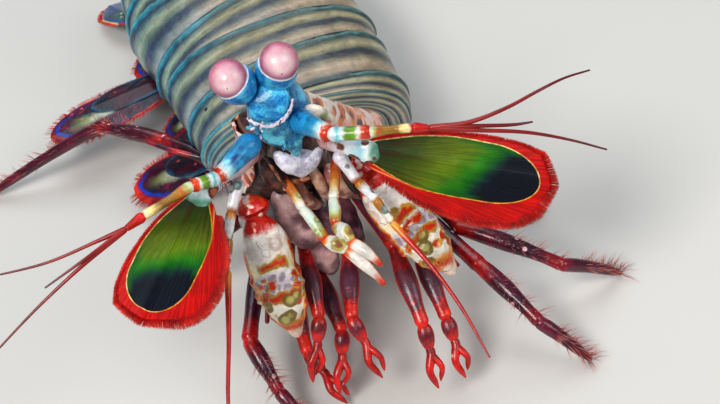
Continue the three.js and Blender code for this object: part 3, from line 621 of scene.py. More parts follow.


# Eyes: two great pink corneas of clear horn with a fine midband, a painted pearly sheen where they face the
# camera and painted shade along their outline.  Each sits in an azure shell cup with a pale rim, on a short
# stalk that comes out of the front of the head.
def cornea_paint(n):
    around, along = n.uv()
    facing = n.get("ShaderNodeLayerWeight", {"Blend": 0.5}, "Facing")
    # Painted sheen: a pale pearly gleam, in clouds, where the cornea faces the camera.
    painted_sheen = n.step(facing, 0.6, 0.04) * n.step(n.noise(190, 3.0), 0.22, 0.6)
    colour = n.mix(n.step(along, 0.45, 0.9), "b4587e", "d47c9a")
    colour = n.mix(painted_sheen, colour, "f2d6da")
    veins = n.noise(700, 3.0)
    colour = n.mix(n.step(veins, 0.5, 0.62) * 0.28, colour, "e0a0b4")
    # Painted shade: the cornea darkens to maroon, then near black, towards its outline as seen from the camera.
    colour = n.mix(n.step(facing, 0.6, 0.84), colour, "8a2c50")
    colour = n.mix(n.step(facing, 0.76, 0.9), colour, "3c0c24")
    return (n.mix(n.step(n.cells(430), 0.075, 0.045), colour, "3a1c2c"),
            n.step(n.cells(14000), 0.1, 0.6) * 0.25)


CORNEA = look("cornea", cornea_paint, rough=0.3, coat=0.5, pit_depth=0.0, lump=0.1, mottled=0.08, glow=0.25)
EYE_CUP = look("eye cup", lambda n: (n.mix(n.step(n.mark(), 0.972, 0.985),
                                           n.clouds(500, 3.0, 0.4, 0.62, "0f76b8", "45b4e0"), "c4cfdc"),
                                     n.step(n.cells(1500), 0.2, 0.5)), rough=0.35)
CORNEA_RADIUS = 3.1
EYES = {"l": ([1.2, -0.1, 62.0], [-0.7, 2.4, 57.6]), "r": ([-7.2, 0.1, 62.0], [-4.2, 2.4, 57.0])}
for side, (centre, root) in EYES.items():
    centre, root = np.array(centre), np.array(root)
    axis = unit(centre - root)
    first = unit(np.cross(axis, [0.0, 1.0, 0.2]))
    second = np.cross(axis, first)
    polar = np.linspace(0.02, 2.3, 60)[:, None]
    turn = np.linspace(0, 2 * np.pi, 72, endpoint=False)[None, :]
    x, y, z = np.sin(polar) * np.cos(turn), np.sin(polar) * np.sin(turn), np.cos(polar) + 0 * turn
    waist = 1 - 0.006 * np.exp(-((y / 0.1) ** 2))
    ball = Shape()
    grid = centre + CORNEA_RADIUS * waist[..., None] * (
        first * x[..., None] + second * y[..., None] + axis * 0.92 * z[..., None])
    ball.tube(grid, share=1 - np.linspace(0, 1, 60), mark=y)
    ball.object("eye_" + side, CORNEA, "eye")
    cup = Shape()
    sag = -0.45 * UP
    cup.limb([[*(root - axis * 0.6), 1.5], [*(root + axis * 0.8), 1.7],
              [*(centre - axis * 4.4 + sag * 0.6), 2.3], [*(centre - axis * 3.6 + sag), 3.05],
              [*(centre - axis * 2.6 + sag), 3.3], [*(centre - axis * 1.3 + sag * 0.6), 3.28],
              [*(centre - axis * 0.9 + sag * 0.4), 3.17]], first, 48, 70, mark=lambda t: t,
             round_ends=(True, False))
    cup.object("eyestalk_" + side, EYE_CUP, "eyestalk")

# Head: the azure shell segment that bears the eyes, with a pale-rimmed front plate, folds of teal skin
# under it and a cream lobe.  Small pebbles of shell grow by its rim.
def azure_paint(dark, light, spot):
    def paint(n):
        speck = n.step(n.cells(1600), 0.25, 0.5)
        colour = n.clouds(500, 3.0, 0.4, 0.62, dark, light)
        return n.mix(n.step(n.cells(900), 0.2, 0.1) * 0.7, colour, spot), speck
    return paint


HEAD_BLUE = look("head shell", azure_paint("0f7ab8", "48b8e0", "0c5890"), rough=0.42, lump=3.6, lumps=900,
                 mottled=0.6)
PALE_RIM = look("pale rim", lambda n: n.clouds(1500, 2.0, 0.56, 0.64, "dcd4e4", "6a3c4c"), rough=0.4, lump=2.0,
                mottled=0.4)
CREAM_LOBE = look("cream lobe", lambda n: n.clouds(420, 3.0, 0.45, 0.66, "ebe2d6", "8f9a70"), rough=0.4,
                  lump=2.0)
TEAL_SKIN = look("teal skin", azure_paint("146e98", "5ab8cc", "0a3454"), rough=0.45, lump=3.4, lumps=1600,
                 mottled=0.5)
head = Shape()
head.limb([[-1.2, 5.5, 44.4, 4.4, 4.4], [-1.3, 4.2, 47.5, 5.4, 6.4], [-1.5, 3.6, 52.5, 4.6, 4.6],
           [-2.2, 2.8, 56.6, 3.8, 2.8], [-2.7, 2.2, 59.2, 2.2, 1.6]], [1, 0, 0], 64, 90)
head.limb([[1.3, -2.3, 55.9, 0.2], [0.6, -3.0, 54.9, 0.26], [-0.6, -3.5, 53.9, 0.34], [-2.1, -3.8, 53.4, 0.36],
           [-3.6, -3.9, 53.4, 0.32], [-5.4, -3.6, 54.5, 0.28], [-6.6, -2.9, 55.7, 0.2]], [0, 0, 1], 16, 90, 1,
          relief=lambda v, a: 1 + 0.16 * np.sin(70 * v) + 0.1 * np.sin(33 * v + 2 * a))
HEAD_LOOKS = [HEAD_BLUE, PALE_RIM, TEAL_SKIN, CREAM_LOBE]
for line, wide, finish in (
    ([[-1.9, 0.9, 58.8, 2.2, 0.7], [-2.3, -0.9, 57.0, 3.3, 1.1], [-2.6, -2.0, 55.2, 3.3, 1.0],
      [-2.7, -2.7, 53.8, 2.4, 0.7], [-2.8, -3.0, 52.9, 1.2, 0.4]], [1, 0, 0.3], HEAD_BLUE),
    ([[-5.4, -1.6, 52.4, 1.6, 0.9], [-3.4, -2.6, 51.2, 2.6, 1.1], [-1.4, -2.9, 50.6, 2.7, 1.1],
      [0.8, -2.2, 50.4, 1.8, 0.9]], [0, 0, 1], TEAL_SKIN),
    ([[-3.0, -2.6, 49.6, 0.8, 0.7], [-1.4, -3.1, 48.9, 2.0, 0.9], [-0.9, -3.2, 47.2, 1.3, 0.7],
      [-1.1, -3.3, 45.2, 0.3, 0.3]], [1, 0, -0.35], TEAL_SKIN),
    ([[2.4, 0.9, 50.7, 0.7, 0.6], [3.6, 0.7, 49.9, 1.15, 0.8], [5.2, 0.5, 48.4, 1.0, 0.8],
      [6.6, 0.4, 46.8, 0.4, 0.4]], [0.5, 0, 0.8], CREAM_LOBE),
):
    head.limb(line, wide, 40, 50, HEAD_LOOKS.index(finish), relief=lambda v,
              a: 1 + 0.04 * np.sin(5 * a + 6 * v) + 0.03 * np.sin(9 * v * a))
head.object("head", HEAD_LOOKS, "head")


class Growth:
    """A geometry-nodes tree that sets many small closed parts on given points, with named inputs."""

    def __init__(self, name, inputs):
        self.tree = bpy.data.node_groups.new(name, "GeometryNodeTree")
        sockets = self.tree.interface.new_socket
        sockets("Points", in_out="INPUT", socket_type="NodeSocketGeometry")
        for label, kind in inputs:
            sockets(label, in_out="INPUT", socket_type="NodeSocket" + kind)
        sockets("Finish", in_out="INPUT", socket_type="NodeSocketMaterial")
        sockets("Mesh", in_out="OUTPUT", socket_type="NodeSocketGeometry")
        self.given = self.tree.nodes.new("NodeGroupInput").outputs

    def add(self, kind, values, **settings):
        node = self.tree.nodes.new(kind)
        for key, value in settings.items():
            setattr(node, key, value)
        for key, value in values.items():
            if isinstance(value, bpy.types.NodeSocket):
                self.tree.links.new(value, node.inputs[key])
            else:
                node.inputs[key].default_value = value
        return node.outputs

    def close(self, instances):
        """Ends the tree: the instances are made real, smooth and given their material."""
        solid = self.add("GeometryNodeRealizeInstances", {0: instances})
        smooth = self.add("GeometryNodeSetShadeSmooth", {0: solid[0]})
        done = self.add("GeometryNodeSetMaterial", {0: smooth[0], "Material": self.given["Finish"]})
        self.add("NodeGroupOutput", {0: done[0]})

    def object(self, name, places, values, node, slot):
        """Makes one piece of the tree's growth on a line of places."""
        path = bpy.data.meshes.new(name + "_path")
        path.from_pydata([tuple(p) for p in (np.array(places) + SHIFT) / 1000],
                         [(k, k + 1) for k in range(len(places) - 1)], [])
        piece = bpy.data.objects.new(name, path)
        bpy.context.scene.collection.objects.link(piece)
        modifier = piece.modifiers.new(name, "NODES")
        modifier.node_group = self.tree
        for label, value in values.items():
            modifier[self.tree.interface.items_tree[label].identifier] = value
        view = bpy.context.evaluated_depsgraph_get()
        made = bpy.data.meshes.new_from_object(piece.evaluated_get(view))
        piece.modifiers.remove(modifier)
        piece.data = made
        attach(piece, "root")
        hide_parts(node)


pebbles = Growth("pebbles", [("Pebble size", "Float"), ("Seed", "Int")])
pebble_inputs = pebbles.given
pebble_ball = pebbles.add("GeometryNodeMeshIcoSphere", {"Radius": 1.0, "Subdivisions": 3})
pebble_share = pebbles.add("FunctionNodeRandomValue", {2: 0.4, 3: 1.0, "Seed": pebble_inputs["Seed"]})
pebble_radius = pebbles.add("ShaderNodeMath", {0: pebble_share[1], 1: pebble_inputs["Pebble size"]},
                            operation="MULTIPLY")
pebble_axes = pebbles.add("ShaderNodeVectorMath", {0: (1.25, 0.8, 0.9), "Scale": pebble_radius[0]},
                          operation="SCALE")
pebble_turn = pebbles.add("FunctionNodeRandomValue", {
    0: (-0.5, -0.5, -0.5), 1: (0.5, 0.5, 0.5), "Seed": pebble_inputs["Seed"]}, data_type="FLOAT_VECTOR")
pebbles.close(pebbles.add("GeometryNodeInstanceOnPoints", {
    "Points": pebble_inputs["Points"], "Instance": pebble_ball[0], "Rotation": pebble_turn[0],
    "Scale": pebble_axes[0]})[0])
random = np.random.default_rng(5)
for name, count, finish in (("head_pebbles_pale", 26, PALE_RIM), ("head_pebbles_teal", 24, TEAL_SKIN)):
    spots = random.uniform([-7.0, -2.6, 50.6], [-3.8, -1.8, 53.4], (count, 3))
    pebbles.object(name, spots, {"Pebble size": 0.00042, "Seed": count, "Finish": finish}, "head", "head")

# Mouthparts: a white heart-shaped labrum of soft shell over dark brown jaws with russet edges, and fleshy
# mauve, plum and pinkish palps folded below.  They hang under the head on the dark column of the throat.
LABRUM = look("labrum", lambda n: n.clouds(420, 4.0, 0.38, 0.58, "a8a0bc", "dcdce6"), rough=0.42, lump=3.4,
              mottled=0.5)
JAW = look("jaws", lambda n: n.clouds(420, 4.0, 0.42, 0.62, "2a1014", "6e3c2c"), rough=0.5, lump=4.0,
           mottled=0.5)
PALP = look("palps", lambda n: n.clouds(380, 4.0, 0.4, 0.6, "9a645c", "e4bca4"), rough=0.4, lump=2.4, glow=0.3)
MAUVE = look("mauve palps", lambda n: n.clouds(260, 5.0, 0.4, 0.62, "643c48", "c8a4a4"), rough=0.4, lump=3.0,
             mottled=0.5, glow=0.15)
PLUM = look("plum palps", lambda n: n.clouds(300, 4.0, 0.42, 0.62, "44243a", "7c505c"), rough=0.4, lump=2.4)
RUSSET = look("russet jaw edges", lambda n: n.clouds(700, 3.0, 0.42, 0.6, "6a2814", "b8744e"), rough=0.4,
              lump=2.0)
mouth = Shape()
MOUTH_LOOKS = [LABRUM, JAW, PALP, PLUM, MAUVE, RUSSET]
for finish, line, wide in (
    (JAW, [[-1.3, 4.6, 45.2, 3.2, 3.4], [-1.1, 4.2, 42.2, 4.2, 4.9], [-0.6, 6.0, 38, 4.6, 5.5],
           [0.4, 9.4, 32, 4.2, 5.2], [1, 11.6, 28, 3.0, 3.6]], [1, 0, 0]),
    (LABRUM, [[-4.3, -1.5, 46.1, 0.7, 0.6], [-3.3, -2.2, 44.5, 1.35, 0.9], [-2.1, -2.5, 42.6, 1.5, 0.9],
              [-1.2, -2.6, 41.0, 0.6, 0.6]], [0.8, 0, 0.6]),
    (LABRUM, [[3.1, -1.5, 43.9, 0.7, 0.6], [1.6, -2.2, 42.9, 1.35, 0.9], [0.0, -2.5, 41.9, 1.5, 0.9],
              [-1.2, -2.6, 40.9, 0.6, 0.6]], [0.2, 0, 1.0]),
    (LABRUM, [[-1.3, -1.3, 44.9, 1.6, 0.8], [-1.0, -2.1, 43.4, 3.0, 1.0], [-1.1, -2.6, 41.6, 2.4, 0.9],
              [-1.4, -2.7, 40.2, 0.6, 0.5]], [0.9, 0, -0.4]),
    (JAW, [[-5.9, -1.2, 45.8, 0.3, 0.3], [-4.8, -2.3, 41.4, 0.34, 0.3], [-4.0, -2.6, 37.4, 0.36, 0.3],
           [-3.8, -2.0, 35.0, 0.2, 0.2]], [1, 0, 0]),
    (JAW, [[-6.2, 0.0, 44.6, 1.1, 0.9], [-5.8, -0.8, 41.0, 1.7, 1.2], [-4.6, -0.6, 36.6, 1.3, 1.1]], [1, 0, 0]),
    (PALP, [[2.8, 0.2, 38.6, 0.9, 0.7], [4.2, -1.0, 36.0, 2.0, 1.4], [5.2, -0.4, 32.4, 1.9, 1.4],
            [5.4, 1.8, 29.6, 1.0, 0.8]], [1, 0, 0]),
    (PALP, [[-2.6, 1.0, 37.6, 0.8, 0.6], [-2.4, -0.2, 35.0, 1.2, 1.0], [-1.4, 0.6, 31.4, 1.2, 1.0],
            [0.0, 2.6, 28.6, 0.8, 0.7]], [1, 0, 0]),
    (PALP, [[0.4, 0.4, 39.4, 0.7, 0.6], [0.9, -0.7, 37.2, 1.0, 0.9], [1.4, -0.2, 33.6, 1.1, 0.9],
            [1.8, 1.8, 30.0, 0.7, 0.6]], [1, 0, 0]),
    (PLUM, [[6.6, 1.6, 36.6, 1.2, 0.9], [8.4, -0.4, 33.6, 2.4, 1.4], [9.4, -1.4, 29.0, 2.6, 1.5],
            [9.8, -1.0, 25.0, 1.4, 1.0]], [1, 0, 0]),
    (MAUVE, [[-5.8, 1.0, 36.6, 1.3, 0.9], [-5.6, -0.8, 32.6, 2.5, 1.5], [-4.2, -2.2, 28.0, 2.6, 1.5],
             [-3.2, -2.6, 24.4, 1.4, 1.0]], [1, 0, 0]),
    (RUSSET, [[-3.0, -2.0, 39.2, 0.3, 0.25], [-1.5, -2.8, 39.7, 0.5, 0.35], [0.0, -2.4, 39.4, 0.3, 0.25]],
     [0, 0, 1]),
    (PALP, [[-5.0, -2.2, 38.8, 0.3, 0.3], [-3.8, -2.7, 38.7, 0.5, 0.4], [-3.0, -2.2, 37.5, 0.3, 0.3]],
     [0, 0, 1]),
    (RUSSET, [[-6.0, -0.8, 45.6, 0.2, 0.15], [-5.4, -2.1, 43.6, 0.24, 0.18], [-4.7, -2.5, 40.2, 0.22, 0.18],
              [-3.4, -2.4, 36.4, 0.2, 0.16], [-2.0, -1.8, 33.6, 0.14, 0.12]], [1, 0, 0]),
    (JAW, [[6.6, -1.0, 40.5, 0.7, 0.5], [5.9, -1.9, 38.0, 1.0, 0.7], [5.8, -2.1, 34.8, 0.8, 0.6],
           [6.9, -1.6, 31.5, 0.5, 0.5]], [1, 0, 0]),
    (PLUM, [[1.0, 4.6, 31.0, 2.2, 1.6], [1.6, 1.6, 26.6, 3.6, 2.0], [2.6, -0.6, 22.0, 3.0, 1.8],
            [3.4, -1.6, 18.6, 1.4, 1.1]], [1, 0, 0]),
    (MAUVE, [[-3.0, 4.0, 29.0, 1.6, 1.4], [-2.4, 1.0, 24.6, 2.6, 1.6], [-2.0, -1.6, 20.0, 2.2, 1.4],
             [-1.8, -2.2, 17.0, 1.1, 0.9]], [1, 0, 0]),
):
    mouth.limb(line, wide, 40, 70, MOUTH_LOOKS.index(finish), relief=lambda v,
               a: 1 + 0.035 * np.sin(4 * a + 7 * v) + 0.02 * np.sin(31 * v))
mouth.object("mouthparts", MOUTH_LOOKS, "mouthparts")

# Antennules: a three-jointed stalk each side, ringed in blue, white, green and orange, with three whips and
# pink setae round the first joint.  They start from the head under the eyes.
def jointed(shape, joints, sizes, wide, flare=1.12, bow=(0, 0, 0), pointed=True):
    """A limb of articles, each tucked into the flared end of the one before; its mark counts them."""
    for k, (r0, r1, r2, *flat) in enumerate(sizes):
        flat = flat[0] if flat else 1.0
        a, b = np.array(joints[k], float), np.array(joints[k + 1], float)
        last = k == len(sizes) - 1
        stops = [(-0.1 if k else 0.0, r0 * 0.86), (0.05, r0), (0.42, r1), (0.84, r2), (1.03, r2 * flare)]
        if last:
            stops[3:] = [(0.85, r2), (1.0, r2 * (0.45 if pointed else 0.9))]
        line = [[*(a + (b - a) * t + np.array(bow) * 4 * t * (1 - t)), r, r * flat] for t, r in stops]
        grid, share = swept(line, wide, 26, 26)
        shape.tube(grid, (k, k + 1), 0, share, np.repeat(k + share, 26))


def banded(count, stops, spots=(), wobble=0.06):
    """Paint that runs through coloured bands article by article; spots are (cells per metre, size, hex)."""
    def paint(n):
        slow = n.wobble(260, 2.0, wobble * 4)
        ragged = n.wobble(1300, 3.0, wobble * 5)
        place = (n.mark() + (slow + ragged)) / count
        colour = n.ramp(place, [(p / count, code) for p, code in stops])
        for scale, size, code in spots:
            colour = n.mix(n.step(n.cells(scale), size * 1.15, size * 0.85), colour, code)
        return colour, n.noise(1500, 3.0)
    return paint


def antennule_paint(n):
    colour, height = banded(4, [(0.0, "1478b8"), (0.66, "2a9cd0"), (0.78, "9cd4e0"), (0.86, "e8e4e0"),
                                (0.9, "d8461a"), (1.0, "c42a0e"), (1.06, "e0ded8"), (1.16, "e4eceb"),
                                (1.26, "58bccb"), (1.36, "d8e4e2"), (1.44, "5c8418"), (1.62, "6e9a20"),
                                (1.7, "e8e4dc"), (1.78, "dc4a1c"), (1.97, "bc2c10"), (2.03, "e6e2da"),
                                (2.12, "a4bc78"), (2.22, "b0602a"), (2.4, "a8802a"), (2.66, "946a1e"),
                                (2.78, "e2cc84"), (2.9, "e6d8a8"), (2.98, "c8180e"), (4.0, "ac120c")],
                            wobble=0.035)(n)
    patch = n.step(n.noise(420, 5.0), 0.52, 0.7) * n.step(n.mark(), 0.8, 0.65)
    return n.mix(patch, colour, "0c4a84"), height


ANTENNULE = look("antennule", antennule_paint, rough=0.34, coat=0.25, mottled=0.45)
PINK_SETA = look("pink seta", seta_paint("a8443c", "e8a8a0"), rough=0.5, coat=0.1, pit_depth=0.0, lump=0.0)
WHIP = look("whips", lambda n: (n.mix(n.step(n.math("SINE", n.mark() * 420.0), 0.2, 0.8) * 0.3,
                                      n.mix(n.mark(), "a00a06", "5c0e14"), "4c0a10"), 0.0), rough=0.4,
            pit_depth=0, lump=0)
ANTENNULES = {
    "l": [[0.2, -0.5, 51], [4.9, -10, 52.8], [10.9, -12.3, 52.6], [17, -13.8, 51.9], [19.6, -14.5, 51.3]],
    "r": [[-6.0, -2.2, 50.9], [-13.8, -7.7, 50.1], [-18.3, -9, 51.4], [-26.4, -12.4, 51.8],
          [-29.7, -13.8, 51.6]],
}
WHIPS = {
    "l": [[(25.6, -16.2, 51.2), (31.5, -16.6, 51.8), (37.3, -15.7, 52.2), (41.8, -13.9, 51.3),
           (46.2, -12.6, 50)], [(26.8, -16.9, 50.4), (32.6, -17.8, 48.9), (34.8, -17.7, 48.3)],
          [(26.6, -17.3, 49.9), (33.7, -19.4, 47.9), (39.1, -21.5, 45.7), (44.3, -22.4, 42)]],
    "r": [[(-33.8, -13.9, 51.4), (-42.1, -14.1, 50.8), (-52.3, -13.3, 51.3)],
          [(-35.7, -16.5, 51.4), (-43.9, -18, 49.5)], [(-37.8, -17.3, 50.4), (-45.4, -19.4, 47.8),
                                                       (-55.6, -22.7, 43.7)]],
}
bristle = Shape()
KNEE_SETAE = 46
for side, joints in ANTENNULES.items():
    shape = Shape()
    jointed(shape, joints, [[1.95, 1.8, 1.45], [1.2, 1.1, 1.15], [0.95, 0.68, 0.75], [0.85, 0.75, 0.55]],
            [0, 0, 1], flare=1.08, pointed=False)
    root = np.array(joints[-1])
    for whip in WHIPS[side]:
        line = [[*(root * 0.9 + np.array(joints[-2]) * 0.1), 0.5]] + \
            [[*p, 0.42 - 0.28 * (k + 1) / len(whip)] for k, p in enumerate(whip)]
        shape.limb(line, [0, 0, 1], 12, 110, 1, lambda t: t)
    shape.object("antennule_" + side, [ANTENNULE, WHIP], "antennule")
    knee, before, after = (np.array(p, float) for p in (joints[1], joints[0], joints[2]))
    ahead = unit(after - before)
    turn = random.uniform(0, 2 * np.pi, KNEE_SETAE)
    first = unit(np.cross(ahead, [0.0, 1.0, 0.0]))
    out = first * np.cos(turn)[:, None] + np.cross(ahead, first) * np.sin(turn)[:, None]
    roots = knee - ahead * random.uniform(0.1, 0.9, (KNEE_SETAE, 1)) + out * 1.3
    ends = roots + out * random.uniform(0.8, 2.4, (KNEE_SETAE, 1))
    ends = ends + ahead * random.uniform(0.3, 1.4, (KNEE_SETAE, 1))
    places = np.stack([0.25 + 0.5 * (side == "l") + turn / 60, 0.5 + turn / 80], 1)
    setae(bristle, roots, ends, ahead * 0.1, 0.04, places)
bristle.object("antennule_setae", PINK_SETA, "antennule", ["antennule_l", "antennule_r"], bake=True)

# Antennae: the second feelers, with stout white basal joints ringed grey-green, then a banded stalk and a
# stiff red flagellum of fine horn rings.  They start from the head just inside the antennal scales.
def antenna_paint(n):
    colour, height = banded(6, [(0.0, "b8a8bc"), (0.25, "dcd8e0"), (0.8, "e4e2e6"), (0.93, "a85a24"),
                                (1.2, "c07c24"), (1.38, "dce2e4"), (1.85, "e2e8ea"), (1.98, "c07a26"),
                                (2.45, "a8742a"), (2.62, "e4e4de"), (2.95, "e8e2d6"), (3.05, "dc9a2c"),
                                (3.3, "d8641c"), (3.5, "c01610"), (6.0, "98101a")], wobble=0.03)(n)
    return ringed(n, colour, 330, 0.34, "6a7a74", "a8b8b0", n.step(n.mark(), 2.9, 2.7)), height


ANTENNA = look("antenna", antenna_paint, rough=0.34, coat=0.25, mottled=0.4)
ANTENNAE = {
    "l": [[5, -4.4, 44.6], [6.7, -8.8, 40.7], [8.5, -11.3, 38], [9.7, -14.1, 34.9], [13.1, -21.2, 30.1],
          [15.3, -27.7, 26], [16.9, -35.4, 20.5]],
    "r": [[-11, -3.6, 45.2], [-13.9, -6.9, 41.9], [-15.8, -9.6, 38.9], [-17.4, -13.3, 36.2],
          [-20.8, -21.7, 29.7], [-24, -30.1, 24.8], [-25.4, -34.6, 21.6]],
}
for side, joints in ANTENNAE.items():
    shape = Shape()
    jointed(shape, joints[:4], [[1.15, 1.02, 0.9], [0.85, 0.78, 0.72], [0.76, 0.68, 0.64]], [1, 0, 0],
            flare=1.06, pointed=False)
    line = [[*p, r] for p, r in zip(joints[3:], (0.62, 0.38, 0.3, 0.16))]
    shape.limb(line, [1, 0, 0], 16, 160, mark=lambda t: 3 + 3 * t)
    shape.object("antenna_" + side, ANTENNA, "antenna")

# Raptorial claws: merus, carpus and propodus folded together like a fist, with the club-like dactyl laid
# along the propodus.  Hard white shell with red bars, orange-red blots and olive-brown rings; each hangs from
# the side of the chest.
def claw_paint(n):
    around, along = n.uv()
    warp = n.wobble(240, 2.0, 0.13) + n.wobble(1000, 3.0, 0.07)
    p = along + warp
    side = abs(n.math("COSINE", around * (2 * math.pi)))
    side = side + n.wobble(420, 3.0, 0.35)
    colour = n.ramp(p, [(0.0, "b8180a"), (0.11, "c8200c"), (0.15, "ece6de"), (0.24, "d8d2ce"), (0.34, "eae4dc"),
                        (0.42, "ead9a4"), (0.47, "e8e4e2"), (0.55, "ccc0ca"), (0.62, "e6e2e0"), (0.7, "ece4d4"),
                        (0.84, "eae6d6"), (0.885, "e09038"), (0.93, "c83410"), (0.965, "d86a34"),
                        (1.0, "f4e6d4")])
    colour = ringed(n, colour, 300, 0.42, "bfa596", "dcd6d0", n.step(abs(p - 0.26), 0.1, 0.06) * 0.7)
    knot = n.step(n.cells(520, "DISTANCE_TO_EDGE"), 0.05, 0.16)
    colour = n.mix(knot * n.step(abs(p - 0.55), 0.07, 0.04), colour, "a391a0")
    for middle, half, reach in ((0.405, 0.020, 0.66), (0.655, 0.024, 0.88)):
        away = abs(p - middle)
        colour = n.mix(n.step(away, half + 0.03, half + 0.012) * n.step(side, reach, reach - 0.12), colour,
                       "b98a2c")
        colour = n.mix(n.step(away, half + 0.008, half - 0.012) * n.step(side, reach - 0.1, reach - 0.2),
                       colour, "cc3410")
    blots = n.noise(360, 2.0)
    low = n.step(p, 0.44, 0.5)
    colour = n.mix(n.step(blots, 0.575, 0.595) * low, colour, "d99a34")
    colour = n.mix(n.step(blots, 0.6, 0.635) * low, colour, "c62c0e")
    colour = ringed(n, colour, 330, 0.47, "7a661c", "b8b06a", n.step(abs(p - 0.77), 0.15, 0.09))
    trim = n.step(side, 0.9, 0.99) * n.step(p, 0.2, 0.3)
    colour = n.mix(n.step(side, 0.86, 0.94) * n.step(p, 0.2, 0.3), colour, "e2b050")
    colour = n.mix(trim, colour, "c8340e")
    return colour, n.noise(600, 3.0) * 4.0 + n.step(blots, 0.55, 0.6) * 2.0


CLAW = look("claw shell", claw_paint, rough=0.28, coat=0.5, lumps=420, lump=4.0, mottled=0.3)
CLAW_RED = look("claw red shell", lambda n: n.clouds(330, 3.0, 0.6, 0.66,
                                                     n.clouds(260, 3.0, 0.52, 0.6, "b8140a", "dc4a1c"),
                                                     "e8d0c4"), rough=0.3, coat=0.5, mottled=0.4)
CLAW_GREY = look("claw arm shell", lambda n: n.clouds(170, 3.0, 0.45, 0.62,
                                                      n.mix(n.step(n.cells(240), 0.25, 0.15), "8f9aa0",
                                                            "5c7a50"), "c8b4a8"), rough=0.3, coat=0.5)
CLUB = look("claw club", lambda n: n.mix(n.step(n.uv()[1], 0.62, 0.8),
                                         n.mix(n.step(abs(n.cells(260) - 0.3), 0.12, 0.06),
                                               n.clouds(320, 2.0, 0.45, 0.6, "d8381a", "f0a35c"), "f4ead6"),
                                         "f6ddc8"), rough=0.18, coat=0.8)
# Places of the small knobs on the claw's hard end, as (share along, angle round).
nodules = random.uniform([0.5, 0.0], [0.86, 2 * np.pi], (34, 2))


def knobs(v, a):
    """Unevenness of the claw's hand: low waves, a knuckle, two grooves and the knobs."""
    knuckle = 0.05 * np.exp(-((v - 0.6) / 0.05) ** 2) * np.sin(4 * a)
    near_groove = 0.045 * np.exp(-((v - 0.47) / 0.03) ** 2)
    far_groove = 0.04 * np.exp(-((v - 0.76) / 0.03) ** 2)
    raised = sum(0.07 * np.exp(-((v - v0) / 0.022) ** 2 - (np.angle(np.exp(1j * (a - a0))) / 0.28) ** 2)
                 for v0, a0 in nodules)
    return (1 + 0.035 * np.sin(3 * a + 9 * v) + knuckle - near_groove - far_groove
            + 0.03 * np.sin(7 * a) * (v > 0.5) + raised)


# Each side: knee and heel at the ends of the hand, and hip, where the arm meets the chest.
CLAWS = {"l": ([8, -2.6, 37], [16.4, -15.4, 21.8], [8.6, 9, 23.6]),
         "r": ([-10.7, -3.4, 37.6], [-10.8, -13.6, 18.4], [-9.6, 8.6, 22.6])}
for side, (knee, heel, hip) in CLAWS.items():
    knee, heel, hip = (np.array(p, float) for p in (knee, heel, hip))
    at = lambda t, shift=(0, 0, 0): list(knee + (heel - knee) * t + np.array(shift))
    hand = Shape()
    hand.limb([[*at(0.03), 2.2, 1.8], [*at(0.1), 2.7, 2.1], [*at(0.28), 3.9, 2.7], [*at(0.6), 3.9, 2.7],
               [*at(0.86), 2.8, 2.1], [*at(1.0), 1.3, 1.2]], [1, 0, 0], 96, 150, relief=knobs)
    hand.object("claw_propodus_" + side, CLAW, "claw")
    club = Shape()
    off = (0.0, 3.4, -1.9)
    club.limb([[*at(0.3, off), 0.8, 0.8], [*at(0.5, off), 2.3, 2.1], [*at(0.72, off), 2.5, 2.2],
               [*at(0.92, off), 2.1, 2.0], [*at(1.1, off), 0.8, 0.8]], [1, 0, 0], 64, 90, relief=lambda v,
              a: 1 + 0.04 * np.sin(5 * a) * np.sin(9 * v))
    club.object("claw_dactyl_" + side, CLUB, "claw")
    wrist = Shape()
    wrist.limb([[*(knee + np.array([0, 0.6, 2.9])), 1.4, 1.4], [*(knee + np.array([0, 0.1, 0.6])), 2.9, 2.6],
                [*(knee + np.array([0, -0.7, -1.7])), 2.7, 2.2]], [1, 0, 0], 56, 60, relief=lambda v,
               a: 1 + 0.05 * np.cos(3 * a) * np.sin(3.1 * v))
    wrist.object("claw_carpus_" + side, CLAW_RED, "claw")
    arm = Shape()
    arm.limb([[*(knee * 0.9 + hip * 0.1), 2.4, 2.2], [*(knee * 0.65 + hip * 0.35), 3.4, 3.0],
              [*(knee * 0.3 + hip * 0.7), 3.6, 3.2], [*hip, 2.2, 2.0]], [1, 0, 0], 56, 70)
    arm.object("claw_merus_" + side, CLAW_GREY, "claw")

# First maxillipeds: slim cleaning limbs of thin shell, white with olive rings and red joints.  They hang from
# the sides of the mouth and cross below it.
def cleaner_paint(n):
    colour, height = banded(4, [(0.0, "8a2414"), (0.2, "b8441c"), (0.55, "c07a2c"), (0.72, "d8b878"),
                                (0.86, "e0ded2"), (1.1, "dce0d4"), (1.5, "c2d4c8"), (1.72, "b4c07a"),
                                (1.84, "c08a30"), (1.93, "c8380e"), (2.1, "cc2410"), (2.18, "d8923a"),
                                (2.28, "e2e2da"), (2.8, "dcdcd0"), (2.9, "b07a2c"), (2.97, "c0280e"),
                                (3.12, "d86020"), (3.22, "dedad2"), (3.7, "d8d0c8"), (3.88, "c84a24"),
                                (4.0, "b8200e")], wobble=0.04)(n)
    palm = n.step(n.mark(), 2.1, 2.3) * n.step(n.mark(), 3.0, 2.85)
    colour = ringed(n, colour, 300, 0.42, "b4a860", "8c5a30", palm)
    colour = ringed(n, colour, 420, 0.3, "8a9a5c", "c8d0a8", n.step(n.mark(), 2.0, 1.8))
    side = abs(n.math("COSINE", n.uv()[0] * (2 * math.pi)))
    trim = n.step(side, 0.86, 0.97) * n.step(n.noise(600, 2.0), 0.4, 0.5)
    return n.mix(trim, colour, "c8782c"), height


